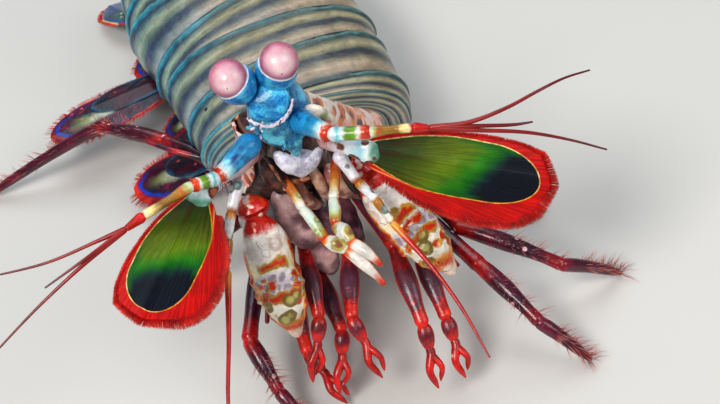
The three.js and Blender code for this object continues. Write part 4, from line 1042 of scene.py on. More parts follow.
CLEANER = look("first maxilliped", cleaner_paint, rough=0.34, coat=0.3, mottled=0.4)
FIRST = {"l": [[4.6, -1.2, 40], [2.1, -8.1, 38.2], [1, -12.9, 37.3], [2.6, -16.8, 36.1], [5.8, -20.9, 33.1]],
         "r": [[-4.6, -0.4, 39.6], [-3, -6, 36.6], [-1.3, -11.1, 33.3], [1.6, -13.6, 31.6], [5.4, -18.7, 26.7]]}
for side, joints in FIRST.items():
    shape = Shape()
    jointed(shape, joints, [[0.8, 0.82, 0.86], [0.86, 0.98, 0.92], [0.95, 1.35, 1.0, 0.7],
                            [0.95, 1.0, 0.55, 0.7]], [1, 0, 0.3], bow=(0.2, -0.2, 0.3), flare=1.06,
            pointed=False)
    shape.object("maxilliped_1_" + side, CLEANER, "maxilliped")

# Third to fifth maxillipeds: grey-purple glassy limbs, edged and jointed in red, each ending in a small hand
# of two hooked fingers.  They hang from the chest behind the claws.
def edged(paint, code):
    """Adds a coloured line along both edges of a flattened limb."""
    def edge_paint(n):
        colour, height = paint(n)
        side = abs(n.math("COSINE", n.uv()[0] * (2 * math.pi)))
        return n.mix(n.step(side, 0.78, 0.95), colour, code), height
    return edge_paint


GRASP = look("maxilliped", edged(banded(3, [
    (0.0, "4c1828"), (0.25, "6a2034"), (0.5, "5e3448"), (0.74, "6e2c3e"), (0.85, "b81612"), (1.0, "d8200e"),
    (1.14, "c01812"), (1.3, "6e2434"), (1.55, "523448"), (1.72, "6a2030"), (1.85, "cc1a10"), (2.05, "dc2a0e"),
    (2.2, "9a181c"), (2.45, "5e2034"), (2.62, "98161c"), (2.8, "c81810"), (3.0, "b8120e")],
    # Pale greenish-white spots: painted highlights on the glassy shell.
    [(250, 0.12, "d8e0d8")], wobble=0.12),
    "b01210"), rough=0.36, coat=0.3, mottled=0.6, grain=420, glow=0.1)
GRASPERS = {
    "maxilliped_3_l": [[5.6, 9.4, 28.4], [9.2, -7.6, 23], [9.3, -19.3, 15.7], [8.7, -24.8, 6.5]],
    "maxilliped_4_l": [[6.6, 12, 25], [13, -5, 19.4], [13.4, -17, 13], [13.6, -23, 4.8]],
    "maxilliped_5_l": [[4.4, 14.6, 21.6], [1.6, -3, 20.6], [-1.4, -13.2, 16.6], [0.6, -19.4, 7.6]],
    "maxilliped_3_r": [[-3, 10.2, 27.6], [-5.2, -2.6, 23.6], [-6.4, -12, 18], [-10.6, -16.6, 9.2]],
    "maxilliped_4_r": [[-4.6, 12.6, 24.4], [-4.2, -1, 17.6], [-3.6, -11.6, 12.8], [-7, -17.2, 5]],
    "maxilliped_5_r": [[-5.4, 15, 21.2], [-9.6, 2, 14.2], [-10.4, -9.6, 8.6], [-6.4, -16.6, 1.6]],
}
for name, joints in GRASPERS.items():
    shape = Shape()
    joints = [np.array(p, float) for p in joints]
    wrist = joints[2] * 0.6 + joints[3] * 0.4
    jointed(shape, [joints[0], joints[1], joints[2], wrist],
            [[1.3, 1.45, 1.15, 0.8], [1.2, 1.75, 1.15, 0.7], [1.15, 1.35, 0.95, 0.7]], [1, 0, 0],
            bow=(0, -0.3, 0.2), flare=1.04, pointed=False)
    for spread, thick in ((-1, 1.0), (1, 0.78)):
        tip = joints[3] + np.array([0.35 * spread, 0.5 * spread, 0.5 * (spread > 0)])
        middle = wrist * 0.5 + joints[3] * 0.5 + np.array([1.05 * spread, -0.8, 0.2])
        shape.limb([[*(wrist * 0.8 + joints[2] * 0.2 + [0.3 * spread, 0, 0]), 0.6 * thick],
                    [*wrist, 0.74 * thick], [*middle, 0.62 * thick],
                    [*(tip * 0.7 + middle * 0.3), 0.42 * thick], [*tip, 0.1]], [1, 0, 0], 18, 40,
                   mark=lambda t: 2.6 + 0.4 * t)
    shape.object(name, GRASP, "maxilliped")

# Walking legs: three slim pairs of thin shell, maroon and dark purple with red joints, each with a thin outer
# branch and pink bristles on the last joints.  They come from the last three rings of the chest, feet on the
# floor.
LEG = look("walking leg", banded(4, [(0.0, "280c1c"), (0.3, "420e24"), (0.55, "680e22"), (0.62, "200c24"),
                                     (0.95, "500c24"), (1.05, "98121e"), (1.2, "640e26"), (1.45, "240a22"),
                                     (1.7, "3c0c28"), (1.92, "b01214"), (2.08, "bc1812"), (2.3, "560c28"),
                                     (2.7, "2e0a26"), (2.9, "941220"), (3.15, "5c0e2c"), (3.6, "480c2a"),
                                     (4.0, "84182e")], [(240, 0.1, "e0b4bc"), (120, 0.07, "dcd6e0")],
                                 wobble=0.08), rough=0.3, coat=0.45, mottled=0.6)


# The back's middle line: it runs down at PITCH for LENGTH, levels out on an arc of radius BEND, and is level
# from FLAT on.  SWAY is (distance, x), the bend of the body to one side.
LENGTH, PITCH, BEND = 31.0, math.radians(60), 20.0
FLAT = LENGTH + BEND * PITCH
SWAY = [[-12, -3.4], [0, -3.4], [31, 0.6], [52, 2.5], [73, 0.5], [94, -4], [115, -8], [140, -10]]


def station(s):
    """Place, forward-to-tail, upward and sideways directions on the back's middle line."""
    def middle(s):
        y = 7 + np.minimum(s, LENGTH) * math.cos(PITCH)
        z = 52 - np.minimum(s, LENGTH) * math.sin(PITCH)
        pitch = PITCH - np.clip((s - LENGTH) / (BEND * PITCH), 0, 1) * PITCH
        y = y + np.where(s > LENGTH, BEND * (math.sin(PITCH) - np.sin(pitch)), 0)
        z = z - np.where(s > LENGTH, BEND * (np.cos(pitch) - math.cos(PITCH)), 0)
        droop = np.maximum(0, s - FLAT - 42)
        y = y + np.maximum(s - FLAT, 0) - droop**2 * 0.00216
        z = z - droop**2 * 0.0072
        table = np.array(SWAY)
        i = np.clip(np.searchsorted(table[:, 0], s, side="right") - 1, 0, len(table) - 2)
        u = np.clip((s - table[i, 0]) / (table[i + 1, 0] - table[i, 0]), 0, 1)
        u = u * u * (3 - 2 * u)
        x = table[i, 1] + (table[i + 1, 1] - table[i, 1]) * u
        return np.stack([x, y, z], -1), np.where(s > FLAT, np.arctan(0.0144 * droop), pitch)

    s = np.asarray(s, float)
    point, pitch = middle(s)
    along = unit(middle(s + 0.5)[0] - middle(s - 0.5)[0])
    dorsal = np.stack([0 * pitch, np.sin(pitch), np.cos(pitch)], -1)
    dorsal = unit(dorsal - np.sum(dorsal * along, -1, keepdims=True) * along)
    return point, along, dorsal, np.cross(along, dorsal)


def from_back(s, across, up):
    point, along, dorsal, aside = station(s)
    return point + aside * across + dorsal * up


LEGS = {
    "leg_1_l": [[13.6, 12, 15.4], [22, -9, 14], [27.9, -20.6, 8.4], [34.1, -25.2, -0.4]],
    "leg_2_l": [[16, 17, 15.6], [21.6, -0.6, 15.6], [35.5, -10.4, 9], [45.5, -8.7, -0.4]],
    "leg_3_l": [[17, 33, 11], [26, 25, 12], [34, 18, 8], [36, 13, -0.4]],
    "leg_1_r": [[-12.6, 11, 14.4], [-19, -6, 12.4], [-17, -13.8, 6.2], [-13.6, -20, -0.4]],
    "leg_2_r": [[-15, 23, 13.4], [-24, 18, 13.4], [-30.4, 24, 9], [-33.6, 31, -0.4]],
    "leg_3_r": [[-15, 42, 11], [-24, 53, 12.6], [-36, 64, 12.4], [-64, 69.5, -0.4]],
}
leg_hair = Shape()
LEG_SETAE, FOOT_RADIUS = 170, 0.75
for name, joints in LEGS.items():
    shape = Shape()
    pair, sign = int(name[4]), 1 if name.endswith("l") else -1
    hip = from_back(LENGTH + BEND * PITCH / 4 * (pair + 0.5), sign * 8.5, -5.4)
    joints = [hip] + [np.array(p, float) for p in joints]
    joints[-1] = joints[-1] + np.array([0, 0, FOOT_RADIUS])
    jointed(shape, joints, [[2.1, 2.0, 1.6], [1.5, 1.6, 1.35], [1.4, 1.55, 1.1], [1.2, 1.1, 0.75]], [0, 0, 1],
            bow=(0, 0, 0.5), flare=1.15)
    side = unit(np.array([joints[3][1] - joints[1][1], joints[1][0] - joints[3][0], 0]))
    middle = joints[2]
    branch = [[*(joints[1] + [0, 0, 1.2]), 0.7], [*((joints[1] + middle) / 2 + side * 3 * sign + [0, 0, 3.0]),
                                                  0.55], [*(middle + side * 4 * sign + [0, 0, 3.2]), 0.4]]
    shape.limb(branch, [0, 0, 1], 14, 60, mark=lambda t: 1 + 2 * t)
    shape.object(name, LEG, "leg")
    count = LEG_SETAE
    t = random.uniform(0.25, 1.0, count)
    article = np.where(random.uniform(size=count) < 0.45, 2, 3)
    a = np.array([joints[k] for k in article])
    b = np.array([joints[min(k + 1, 4)] for k in article])
    roots = a + (b - a) * t[:, None]
    ahead = unit(b - a)
    turn = random.uniform(0, 2 * np.pi, count)
    first = unit(np.cross(ahead, [0.1, 0.1, 1.0]))
    second = np.cross(first, ahead)
    out = first * np.cos(turn)[:, None] + second * np.abs(np.sin(turn))[:, None]
    roots = roots + out * FOOT_RADIUS
    ends = roots + out * random.uniform(1.2, 3.2, (count, 1)) + ahead * random.uniform(0.8, 2.0, (count, 1))
    ends[:, 2] = np.maximum(ends[:, 2], 0.1)
    roots[:, 2] = np.maximum(roots[:, 2], 0.1)
    setae(leg_hair, roots, ends, [0, 0, 0.2], random.uniform(0.045, 0.08, count),
          np.stack([0.08 + 0.14 * (pair * 2 - 2 + (sign > 0)) + turn / 70, 0.05 + 0.9 * (article - 2 + t) / 2],
                   1))
leg_hair.object("leg_setae", PINK_SETA, "leg", list(LEGS), bake=True)

# Body: arched shell rings that tuck under one another, each with a thick rear lip and side lobes and soft
# flesh inside.  The back is banded beige, slate and teal, bluer to the animal's right; the carapace in front
# is netted orange and cream, with the rostral plate at its front edge.
def arch(shape, table, span, rows, cols, thick, lip, lobe, keels):
    """An arched shell over the back between the first and last stations (s, half, up, down)."""
    table = np.array(table, float)
    s = np.linspace(table[0, 0], table[-1, 0], rows)
    half, up, down = hermite(table, s).T
    turn = np.linspace(np.pi + span, -span, cols)[None, :]
    c, n = np.cos(turn), np.sin(turn)
    v = np.linspace(0, 1, rows)[:, None]
    swell = 1 + lip * (np.exp(-((v - 0.95) / 0.035) ** 2) - 0.5 * np.exp(-((v - 0.86) / 0.03) ** 2))
    across = half[:, None] * np.sign(c) * np.abs(c) ** 0.85 * swell
    height = np.where(n > 0, up[:, None] * np.abs(n) ** 0.9, -down[:, None] * np.abs(n) ** 0.7) * swell
    height = height + keels(v, across)
    push = lobe * np.clip(-n / max(math.sin(span), 0.1), 0, 1) ** 1.5 * (v - 0.35)
    point, along, dorsal, aside = (a[:, None] for a in station(s))
    grid = point + aside * across[..., None] + dorsal * height[..., None] + along * push[..., None]
    shape.plate(grid, thick)


def core(shape, table, shrink=0.93):
    """The soft body inside a shell ring, showing below it and between rings."""
    table = np.array(table, float)
    s = np.linspace(table[0, 0], table[-1, 0], 16)
    half, up, down = hermite(table, s).T
    turn = np.linspace(0, 2 * np.pi, 48, endpoint=False)[None, :]
    c, n = np.cos(turn), np.sin(turn)
    across = half[:, None] * shrink * np.sign(c) * np.abs(c) ** 0.85
    height = np.where(n > 0, up[:, None] * 0.9 * np.abs(n) ** 0.9, -down[:, None] * np.abs(n) ** 0.7)
    point, along, dorsal, aside = (a[:, None] for a in station(s))
    shape.tube(point + aside * across[..., None] + dorsal * height[..., None], slot=1)


def band_paint(stops, cool):
    def paint(n):
        around, along = n.uv()
        shift = n.wobble(90, 3.0, 0.1)
        streak = n.noise(9.0, 3.0, n.vector(around * 2.0, along * 1.2))
        place = along + (shift + (streak - 0.5) * 0.12)
        warm = n.ramp(place, stops)
        blue = n.ramp(place, cool)
        leftness = 0.46 - around + n.wobble(60, 2.0, 0.4)
        colour = n.mix(n.step(leftness, -0.1, 0.28), warm, blue)
        rim = n.step(abs(around - 0.5), 0.42, 0.485)
        edge = n.clouds(260, 2.0, 0.46, 0.56, "16607e", "2c6e50")
        colour = n.mix(rim, colour, edge)
        colour = n.mix(n.step(n.cells(100), 0.055, 0.03), colour, "262238")
        colour = n.mix(0.08, colour, "5c665f")
        # Painted sheen: a soft grey-green veil, in streaks, laid over the bands.
        painted_sheen_veil = n.noise(18.0, 4.0, n.vector(around * 3.0, along * 0.5))
        colour = n.mix(n.step(painted_sheen_veil, 0.48, 0.64) * 0.3, colour, "5b6a66")
        return colour, streak * 2.0
    return paint


# Bands across each ring from its front edge to its lip, on the left of the back and, cooler, on the right.
WARM = [(0.0, "22343c"), (0.1, "3f4a4e"), (0.18, "9c8c78"), (0.27, "b8a38c"), (0.36, "8e846e"),
        (0.44, "474a50"), (0.52, "3e4450"), (0.6, "8d8a70"), (0.69, "b3a684"), (0.77, "8c8c72"),
        (0.85, "56605c"), (0.9, "34464a"), (0.935, "3f6a6c"), (0.96, "6a9490"), (0.98, "2c4c54"),
        (1.0, "17303c")]
COOL = [(0.0, "16384c"), (0.1, "2c4a60"), (0.18, "72889a"), (0.27, "98a2a8"), (0.36, "6c8488"),
        (0.44, "3c4a6c"), (0.52, "324468"), (0.6, "6a8a80"), (0.69, "9fb0a0"), (0.77, "6c8c88"),
        (0.84, "34506c"), (0.89, "1e4058"), (0.925, "1a7a9c"), (0.96, "52b0bc"), (0.985, "145470"),
        (1.0, "10283c")]
BACK = look("back shell", band_paint(WARM, COOL), rough=0.36, coat=0.25, mottled=0.35, grain=240, lump=2.0)
BELLY = look("belly", lambda n: n.clouds(200, 4.0, 0.42, 0.6, "a8887c", "d8c6b4"), rough=0.5, lump=2.5,
             glow=0.2)


def leopard_paint(n):
    around, along = n.uv()
    warped = n.get("ShaderNodeVectorMath", {0: n.noise(420, 2.0, output="Color"), 1: (0.0012, 0.0012, 0.0012)},
                   operation="MULTIPLY")
    stretched = n.get("ShaderNodeVectorMath", {0: n.place(), 1: (1.0, 0.62, 0.62)}, operation="MULTIPLY")
    spread = n.get("ShaderNodeVectorMath", {0: stretched, 1: warped}, operation="ADD")
    cell = n.cells(470, "DISTANCE_TO_EDGE", spread)
    brown = n.clouds(380, 2.0, 0.42, 0.56, "4c160a", "d4480e")
    blotch = n.mix(n.step(n.cells(470, "F1", spread), 0.34, 0.58), brown, "e0842c")
    net = n.clouds(170, 2.0, 0.4, 0.58, "e8a08c", "f4e4da")
    colour = n.mix(n.step(cell, 0.09, 0.16), net, blotch)
    upper = n.step(abs(around - 0.5), 0.3, 0.22)
    colour = n.mix(upper * n.step(n.noise(300, 2.0), 0.36, 0.5), colour, "e8963a")
    middle = n.step(abs(around - 0.5), 0.22, 0.16)
    back_tone = n.ramp(along + n.noise(90, 3.0) * 0.12, [(0.0, "6a6a58"), (0.12, "a8967c"), (0.24, "7c7664"),
                                                         (0.32, "454c50"), (0.42, "a09476"), (0.52, "b3a488"),
                                                         (0.6, "4c5456"), (0.7, "988c70"), (0.8, "aa9c80"),
                                                         (0.88, "414c50"), (0.95, "4a8084"), (1.0, "2c545e")])
    colour = n.mix(middle, colour, back_tone)
    return colour, n.step(cell, 0.05, 0.2) * -1.5


# Painted shade: the soft body under the carapace and the first two chest rings is coloured dark plum-brown for
# the shade in there.
THROAT_PAINTED_SHADE = look("throat skin painted shade", lambda n: n.clouds(260, 4.0, 0.42, 0.62, "2a1216", "6a4640"), rough=0.5, coat=0.15,
              lump=3.0)
LEOPARD = look("carapace shell", leopard_paint, rough=0.28, coat=0.5, mottled=0.22)
shield = Shape()
front = [[8, 6.2, 0.6, 4.0], [12, 7.2, 0.8, 5.0], [18, 8.8, 1.2, 6.0], [24, 10.6, 2.2, 6.6],
         [31.6, 14.2, 4.4, 6.6]]


def grooves(v, x):
    """Two long grooves, one bent cross groove and a low keel on the carapace."""
    long_grooves = np.exp(-((np.abs(x) - 4.6 - 1.6 * v) / 0.5) ** 2) * np.clip(v * 4, 0, 1)
    cross_groove = np.exp(-((v - 0.62 + 0.006 * x**2) / 0.03) ** 2)
    return -0.5 * long_grooves - 0.35 * cross_groove + 0.3 * np.exp(-(x / 0.5) ** 2) * (v > 0.1)


arch(shield, front, 0.62, 110, 161, 0.55, lip=0.012, lobe=-2.5, keels=grooves)
core(shield, [[6.0, 5.2, 0.3, 4.4]] + front[:4] + [[30.8, 13.9, 4.1, 6.6]], 0.94)
shield.object("carapace", [LEOPARD, THROAT_PAINTED_SHADE], "carapace")
plate = Shape()
c = np.linspace(-1, 1, 41)[None, :]
t = np.linspace(0, 1, 50)[:, None]
half = np.interp(t, [0, 0.25, 0.55, 0.8, 1], [3.2, 3.6, 2.9, 1.6, 0.35])
spine = np.array([-1.9, 11.7, 45.6]) + np.array([-0.3, -2.5, 7.6]) * t[..., None]
plate.plate(spine + np.array([1, 0, 0]) * (half * c)[..., None] + np.array([0, 0.6, 0.5])
            * (0.5 * (1 - c ** 2) + 0.25 * np.exp(-(c * 5) ** 2))[..., None] * np.ones_like(t)[..., None], 0.55,
            up=[0, 0.8, 0.6])
plate.object("rostral_plate", look("rostral plate", lambda n: n.mix(n.step(abs(n.uv()[0] - 0.5), 0.36, 0.45),
    n.clouds(320, 3.0, 0.42, 0.6, "6a6a58", "a89478"), "4a7c80"), rough=0.35), "carapace")

# Four thoracic rings share the bend, and six abdominal rings the level part; each is (s, half, up, down).
STEP, RING_LENGTH, LAST_RING = BEND * PITCH / 4, 10.5, 9
rings = []
for k, half in enumerate((14.6, 16.4, 18.0, 19.0)):
    s0, rise = LENGTH + k * STEP, 1.1 * k
    rings.append((f"thorax_{k + 5}", [[s0 - 0.5, half - 0.9, 3.9 + rise, 6.3],
                                      [s0 + STEP * 0.5, half + 0.2, 4.7 + rise, 6.5],
                                      [s0 + STEP + 0.5, half + 0.75, 5.3 + rise, 6.4]], 0.3, 1.0))
for k, (half, up) in enumerate(zip((19.4, 20, 20.2, 19.8, 18.6, 15.8), (9.6, 10, 10, 9.8, 9.2, 8))):
    s0, length = FLAT + k * RING_LENGTH, LAST_RING if k == 5 else RING_LENGTH
    rings.append((f"abdomen_{k + 1}", [[s0 - 0.7, half - 1.1, up - 0.9, 5.5],
                                       [s0 + length * 0.45, half, up, 5.9],
                                       [s0 + length + 0.4, half + 0.7, up + 0.25, 5.6]], 0.42, 2.2))
for name, table, span, lobe in rings:
    ring = Shape()
    crest = (lambda v, x: 0.0 * x) if name[0] == "t" else \
        (lambda v, x: 0.16 * np.exp(-((np.abs(x) - 14.5) / 0.5) ** 2) * np.clip(v * 3, 0, 1))
    if name == "abdomen_6":
        crest = lambda v, x: 0.55 * sum((np.exp(-((np.abs(x) - p) / 0.55) ** 2)
                                         for p in (3.2, 7.4, 11.4))) * np.clip(v * 2, 0, 1)
    arch(ring, table, span, 44, 141, 0.5, lip=0.014, lobe=lobe, keels=crest)
    core(ring, [[table[0][0] + 0.2, *table[0][1:]], table[1], [table[2][0] - 0.8, table[2][1] - 0.3,
        *table[2][2:]]])
    ring.object(name, [BACK, THROAT_PAINTED_SHADE if name in ("thorax_5", "thorax_6") else BELLY], "trunk")

# Telson: a keeled olive-green tail plate of thick shell with six strong teeth, blue, cream and orange-red
# at the edge.  It sits behind the last ring of the body.
END = FLAT + 5 * RING_LENGTH + LAST_RING


def telson_paint(n):
    across, along = n.uv()
    ridge = n.mark()
    colour = n.clouds(160, 3.0, 0.4, 0.62, "2a5a3c", "5f7a3a")
    colour = n.mix(n.step(n.cells(260), 0.16, 0.1), colour, "d8d8b8")
    colour = n.mix(n.step(ridge, 0.35, 0.8), colour, "7fb8a0")
    far = n.math("MAXIMUM", along, abs(across - 0.5) * 1.95)
    colour = n.mix(n.step(far, 0.74, 0.8), colour, "1f6fae")
    colour = n.mix(n.step(far, 0.84, 0.88), colour, "f0e0b8")
    return n.mix(n.step(far, 0.93, 0.97), colour, "d8401c"), n.noise(700, 3.0) * 2.0


tail = Shape()
rows, cols = 90, 181
c = np.linspace(-1, 1, cols)[None, :]
v = np.linspace(0, 1, rows)[:, None]
teeth = sum(h * np.clip(1 - np.abs(np.abs(c) - p) / w, 0, 1) ** 1.3 for p, w, h in
            ((0.22, 0.16, 4.4), (0.60, 0.15, 3.6), (0.93, 0.12, 1.8)))
far = (13.2 - 4.5 * np.abs(c) ** 2.5 + teeth)
s = END + 0.1 + v * far
half = np.interp(s, END + np.array([0, 4, 9, 14, 18]), [12.8, 14.2, 13.8, 12.2, 9.8])
up, down = (np.interp(s, END + np.array([0, 4, 9, 14, 18.2]), col)
            for col in ([5.2, 4.6, 3.4, 2.2, 0.9], [3.2, 2.8, 2.0, 1.2, 0.5]))
ridges = sum((h * np.exp(-((np.abs(c) - p) / 0.026) ** 2) for p,
              h in ((0.0, 1.0), (0.2, 0.7), (0.4, 0.6), (0.6, 0.6), (0.8, 0.5))))
ridges = ridges * np.clip(v * 6, 0, 1) * np.clip((1 - v) * 7, 0, 1)
point, along, dorsal, aside = station(s)
lid = point + aside * (half * c)[..., None] + dorsal * (up * (1 - np.abs(c) ** 2.6) ** 0.6 - 0.3 + 0.75
                                                        * ridges)[..., None]
base = point + aside * (half * c * 0.99)[..., None] - dorsal * (down * (1 - np.abs(c) ** 2.6) ** 0.5
    + 0.3)[..., None]
tail.plate(lid, 0.5, mark=ridges, inner=base)
tail.object("telson", look("telson", telson_paint, rough=0.3, coat=0.4), "telson")

# Uropods and pleopods: flat blades with a low keel and a red fringe of setae, dark green or maroon with blue
# margins.  A uropod hangs on each side of the last ring, with spines along its outer blade; the five pairs of
# pleopods hang under the first five rings of the abdomen.
def half_at(table, t):
    """Half width along a blade, closing in a round end after the table's last stop but one."""
    start = table[-2][0]
    past = np.clip((t - start) / (1 - start), 0, 1)
    return hermite(table, t)[:, 0] * np.sqrt(np.clip(1 - past**2, 1e-4, 1))


def blade(shape, base, tip, across, table, thick, slot=0):
    """A flat blade with a low keel; its mark is the distance from its outline over its half width."""
    base, tip = np.array(base, float), np.array(tip, float)
    length = np.linalg.norm(tip - base)
    axis = (tip - base) / length
    wide = unit(np.array(across, float) - (np.array(across) @ axis) * axis)
    face_up = np.cross(axis, wide)
    face_up = face_up * (1 if face_up[2] > 0 else -1)
    t = np.sin(np.linspace(0, np.pi / 2, 64))
    half = half_at(table, t)
    c = np.sin(np.linspace(-1, 1, 33) * np.pi / 2)[None, :]
    w = half[:, None] * c
    lift = thick * 0.5 * np.sqrt(np.clip(1 - c**2, 0, 1)) + 0.12 * np.exp(-(c * 6) ** 2)
    spread = base + axis * (t * length)[:, None, None] + wide * w[..., None]
    rim_at = np.concatenate([np.stack([t * length, sign * half], 1) for sign in (-1, 1)])
    flat = np.stack([np.broadcast_to((t * length)[:, None], w.shape), w], -1)
    mark = np.sqrt(((flat[:, :, None] - rim_at) ** 2).sum(-1)).min(-1) / half.max()
    shape.plate(spread + face_up * lift[..., None], thick, slot, mark=mark,
                inner=spread - face_up * (lift * 0.8)[..., None])
    return base, axis, wide, face_up, length


def fringe_round(shape, frame_of, table, count, reach, start, place):
    """Setae all round a blade's edge, pointing outwards and towards its tip."""
    base, axis, wide, face_up, length = frame_of
    s = random.uniform(start, 1.0, count)
    sign = random.choice([-1, 1], count)
    half = half_at(table, s)
    tip = np.clip((s - 0.8) / 0.2, 0, 1)
    roots = base + axis * (s * length)[:, None] + wide * (sign * half * 0.96)[:, None]
    size = reach * random.uniform(0.6, 1.0, count)
    ends = roots + wide * (sign * size * (1 - 0.5 * tip))[:, None] + axis * (size * (0.35 + 0.7 * tip))[:, None]
    ends[:, 2] = np.maximum(ends[:, 2], 0.12)
    setae(shape, roots, ends, face_up * 0.05, random.uniform(0.032, 0.055, count),
          np.stack([place + 0.04 * sign * half / 5, 0.05 + 0.9 * s], 1))


def uropod_paint(n):
    along, inner = n.uv()[1], n.mark()
    colour = n.clouds(170, 3.0, 0.4, 0.6, "143c34", "236a70")
    colour = n.mix(n.step(n.cells(300), 0.14, 0.09), colour, "cfe0c8")
    colour = n.mix(n.step(inner, 0.3, 0.14), colour, "1a48ac")
    colour = n.mix(n.step(along, 0.42, 0.5), colour, "17407e")
    return n.mix(n.step(inner, 0.13, 0.05), colour, "c02a18")


def pleopod_paint(n):
    across, along = n.uv()
    wavy = n.wobble(330, 3.0, 0.3)
    outer = n.step(along, 0.25, 0.8) * n.step(across, 1.0, 0.35)
    far = n.mark() + wavy - outer * 0.22
    colour = n.clouds(150, 3.0, 0.42, 0.6, "141a34", "480c2c")
    colour = n.mix(n.step(n.noise(620, 2.0), 0.56, 0.68) * 0.6, colour, "94183a")
    colour = n.mix(n.step(n.cells(290), 0.16, 0.06), colour, "cc4c48")
    # Painted highlight: a pale streak down the blade's middle, blue and cyan near the base, pale grey then
    # olive further out.
    stripe = abs(across - 0.5 + wavy * 0.6)
    pale = n.ramp(along, [(0.0, "1888b0"), (0.25, "35b0cc"), (0.45, "c8d0c0"), (0.6, "98a860"),
                          (0.72, "5c5c50")])
    streak = n.step(stripe, 0.13, 0.02) * n.step(along, 0.74, 0.5)
    colour = n.mix(streak * 0.8, colour, pale)
    lit = outer * n.step(abs(far - 0.14), 0.13, 0.02)
    lit = lit * n.step(n.noise(120, 1.0), 0.36, 0.5)
    colour = n.mix(lit * 1.2, colour, "1a3eb8")
    edge = n.clouds(260, 3.0, 0.42, 0.62, "8c0c1c", "d43426")
    return n.mix(n.step(far, 0.1, -0.02), colour, edge), n.noise(900, 2.0) * 2.0


def flap_paint(n):
    colour = n.clouds(230, 3.0, 0.42, 0.62, "101428", "3c0a24")
    colour = n.mix(n.step(n.cells(260), 0.14, 0.06), colour, "b04448")
    edge = n.mark() - n.noise(330, 3.0) * 0.5
    edge = edge + n.step(n.noise(140, 1.0), 0.4, 0.55) * 0.12
    return n.mix(n.step(edge, 0.04, -0.16), colour, "184c6c"), n.noise(900, 2.0) * 2.0


FLAP = look("pleopod flap", flap_paint, rough=0.42, mottled=0.5)
UROPOD = look("uropod", uropod_paint, rough=0.28, coat=0.5)
PLEOPOD = look("pleopod", pleopod_paint, rough=0.36, coat=0.25, mottled=0.45, glow=0.1)
SPINE = look("tail spines", lambda n: n.ramp(n.mark(), [(0.0, "2a6a5a"), (0.4, "f0dcb0"), (0.6, "e8622c"),
                                                        (1.0, "d8241a")]), rough=0.2, coat=0.7)
# Half widths along a uropod's blade.
BLADE = [[0, 1.6], [0.25, 3.0], [0.6, 4.1], [1, 4.1]]
edge_spines = Growth("edge spines", [("Lean", "Vector"), ("Spine length", "Float"), ("Spine width", "Float"),
                                     ("Count", "Int")])
spine_inputs = edge_spines.given
spine_line = edge_spines.add("GeometryNodeMeshToCurve", {"Mesh": spine_inputs["Points"]})
spine_feet = edge_spines.add("GeometryNodeResampleCurve", {"Curve": spine_line[0],
                                                           "Count": spine_inputs["Count"]})
spine_cone = edge_spines.add("GeometryNodeMeshCone", {"Vertices": 14, "Side Segments": 6, "Fill Segments": 2,
                                                      "Radius Top": 0.14, "Radius Bottom": 1.0, "Depth": 1.0})
cone_place = edge_spines.add("GeometryNodeInputPosition", {})
cone_height = edge_spines.add("ShaderNodeSeparateXYZ", {0: cone_place[0]})
marked_cone = edge_spines.add("GeometryNodeStoreNamedAttribute", {
    "Geometry": spine_cone[0], "Name": "mark", "Value": cone_height[2]})
spine_lean = edge_spines.add("FunctionNodeAlignRotationToVector", {"Vector": spine_inputs["Lean"]}, axis="Z")
spine_girth = edge_spines.add("ShaderNodeCombineXYZ", {
    0: spine_inputs["Spine width"], 1: spine_inputs["Spine width"], 2: spine_inputs["Spine length"]})
edge_spines.close(edge_spines.add("GeometryNodeInstanceOnPoints", {
    "Points": spine_feet[0], "Instance": marked_cone[0], "Rotation": spine_lean[0],
    "Scale": spine_girth[0]})[0])
tail_hair = Shape()
BLADE_SETAE, SPINES, TIP_HEIGHT = 640, 9, 0.75
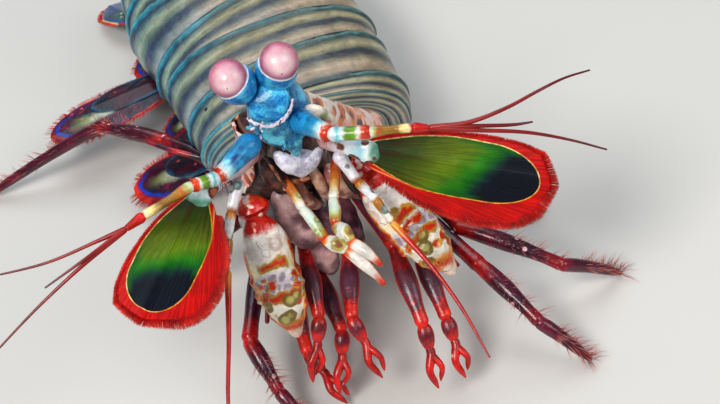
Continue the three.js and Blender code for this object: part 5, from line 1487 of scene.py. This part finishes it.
for side, sign in (("l", 1), ("r", -1)):
    shape = Shape()
    root, elbow = from_back(END - 4, sign * 10.5, -3.4), from_back(END + 3, sign * 14.6, -5.0)
    shape.limb([[*root, 2.3, 1.9], [*elbow, 2.7, 1.9], [*from_back(END + 6, sign * 15.4, -6.2), 1.4, 1.1]],
               [1, 0, 0], 40, 40, 1, lambda t: t * 0.5)
    for k, (reach, out) in enumerate(((22.5, 19), (24, 11))):
        tip = from_back(END + reach, sign * out, 0)
        tip[2] = TIP_HEIGHT
        frame_of = blade(shape, elbow, tip, [1, 0.3, 0], BLADE, 1.1)
        fringe_round(tail_hair, frame_of, BLADE, BLADE_SETAE, 1.5, 0.3, 0.2 + 0.2 * k + 0.4 * (sign > 0))
        if k == 0:
            base, axis, wide, face_up, length = frame_of
            at = np.linspace(0.3, 0.66, SPINES)
            feet = base + axis * (at * length)[:, None] + wide * (sign * half_at(BLADE, at) * 0.9)[:, None]
            edge_spines.object("uropod_spines_" + side, feet, {
                "Lean": tuple(wide * sign * 1.1 + axis * 1.5), "Spine length": 0.0018, "Spine width": 0.00042,
                "Count": SPINES, "Finish": SPINE}, "uropod_" + side, "uropod")
    for across, long in ((11.5, 8.0), (13.6, 5.5)):
        a, b = from_back(END + 3, sign * across, -6.4), from_back(END + 3 + long, sign * (across + 0.6), -7.0)
        shape.limb([[*a, 1.1], [*(a * 0.5 + b * 0.5), 0.8], [*b, 0.25]], [1, 0, 0], 18, 24, 1, lambda t: t)
    shape.object("uropod_" + side, [UROPOD, SPINE], "uropod")
# Half widths along a pleopod.
PADDLE = [[0, 1.8], [0.18, 2.2], [0.45, 4.2], [0.70, 4.6], [1, 4.6]]
# For each side, front to back: the tip's reach out, down and back from the middle line, and the width.
PLEOPODS = {"l": [[17, 10.4, 2, 1], [18, 10.4, 2, 1], [20, 10.4, 2, 1], [24, 10, 3, 1], [20, 9, 3, 1]],
            "r": [[34, 11.2, 11, 1.35], [25, 10.4, 5, 1], [24, 10.4, 3, 1], [43, 6.5, 4, 1.25], [22, 9, 3, 1]]}
for side, sign in (("l", 1), ("r", -1)):
    for k, (out, down, back, width) in enumerate(PLEOPODS[side]):
        s = FLAT + (k + 0.5) * RING_LENGTH
        base, tip = from_back(s, sign * 9.5, -4.8), from_back(s, sign * out, -down) + station(s)[1] * back
        shape = Shape()
        table = [[t, half * width * 0.9] for t, half in PADDLE]
        frame_of = blade(shape, base, tip, [0, 1, 0.1], table, 0.9)
        inner_tip = base + (tip - base) * 0.72 + np.array([0, 1.6 * width, 0.9])
        blade(shape, base + np.array([0, 0.8, 0.5]), inner_tip, [0, 1, 0.1], [[t, h * 0.62] for t, h in table],
              0.7, 1)
        fringe_round(tail_hair, frame_of, table, BLADE_SETAE, 1.3 * width, 0.3,
                     0.1 + 0.08 * k + 0.45 * (sign > 0))
        shape.object(f"pleopod_{k + 1}_{side}", [PLEOPOD, FLAP], "pleopod")
tail_hair.object("tail_setae", RED_SETA, "uropod", ["uropod_l", "uropod_r"]
                 + [f"pleopod_{k}_{x}" for k in range(1, 6) for x in "lr"], bake=True)
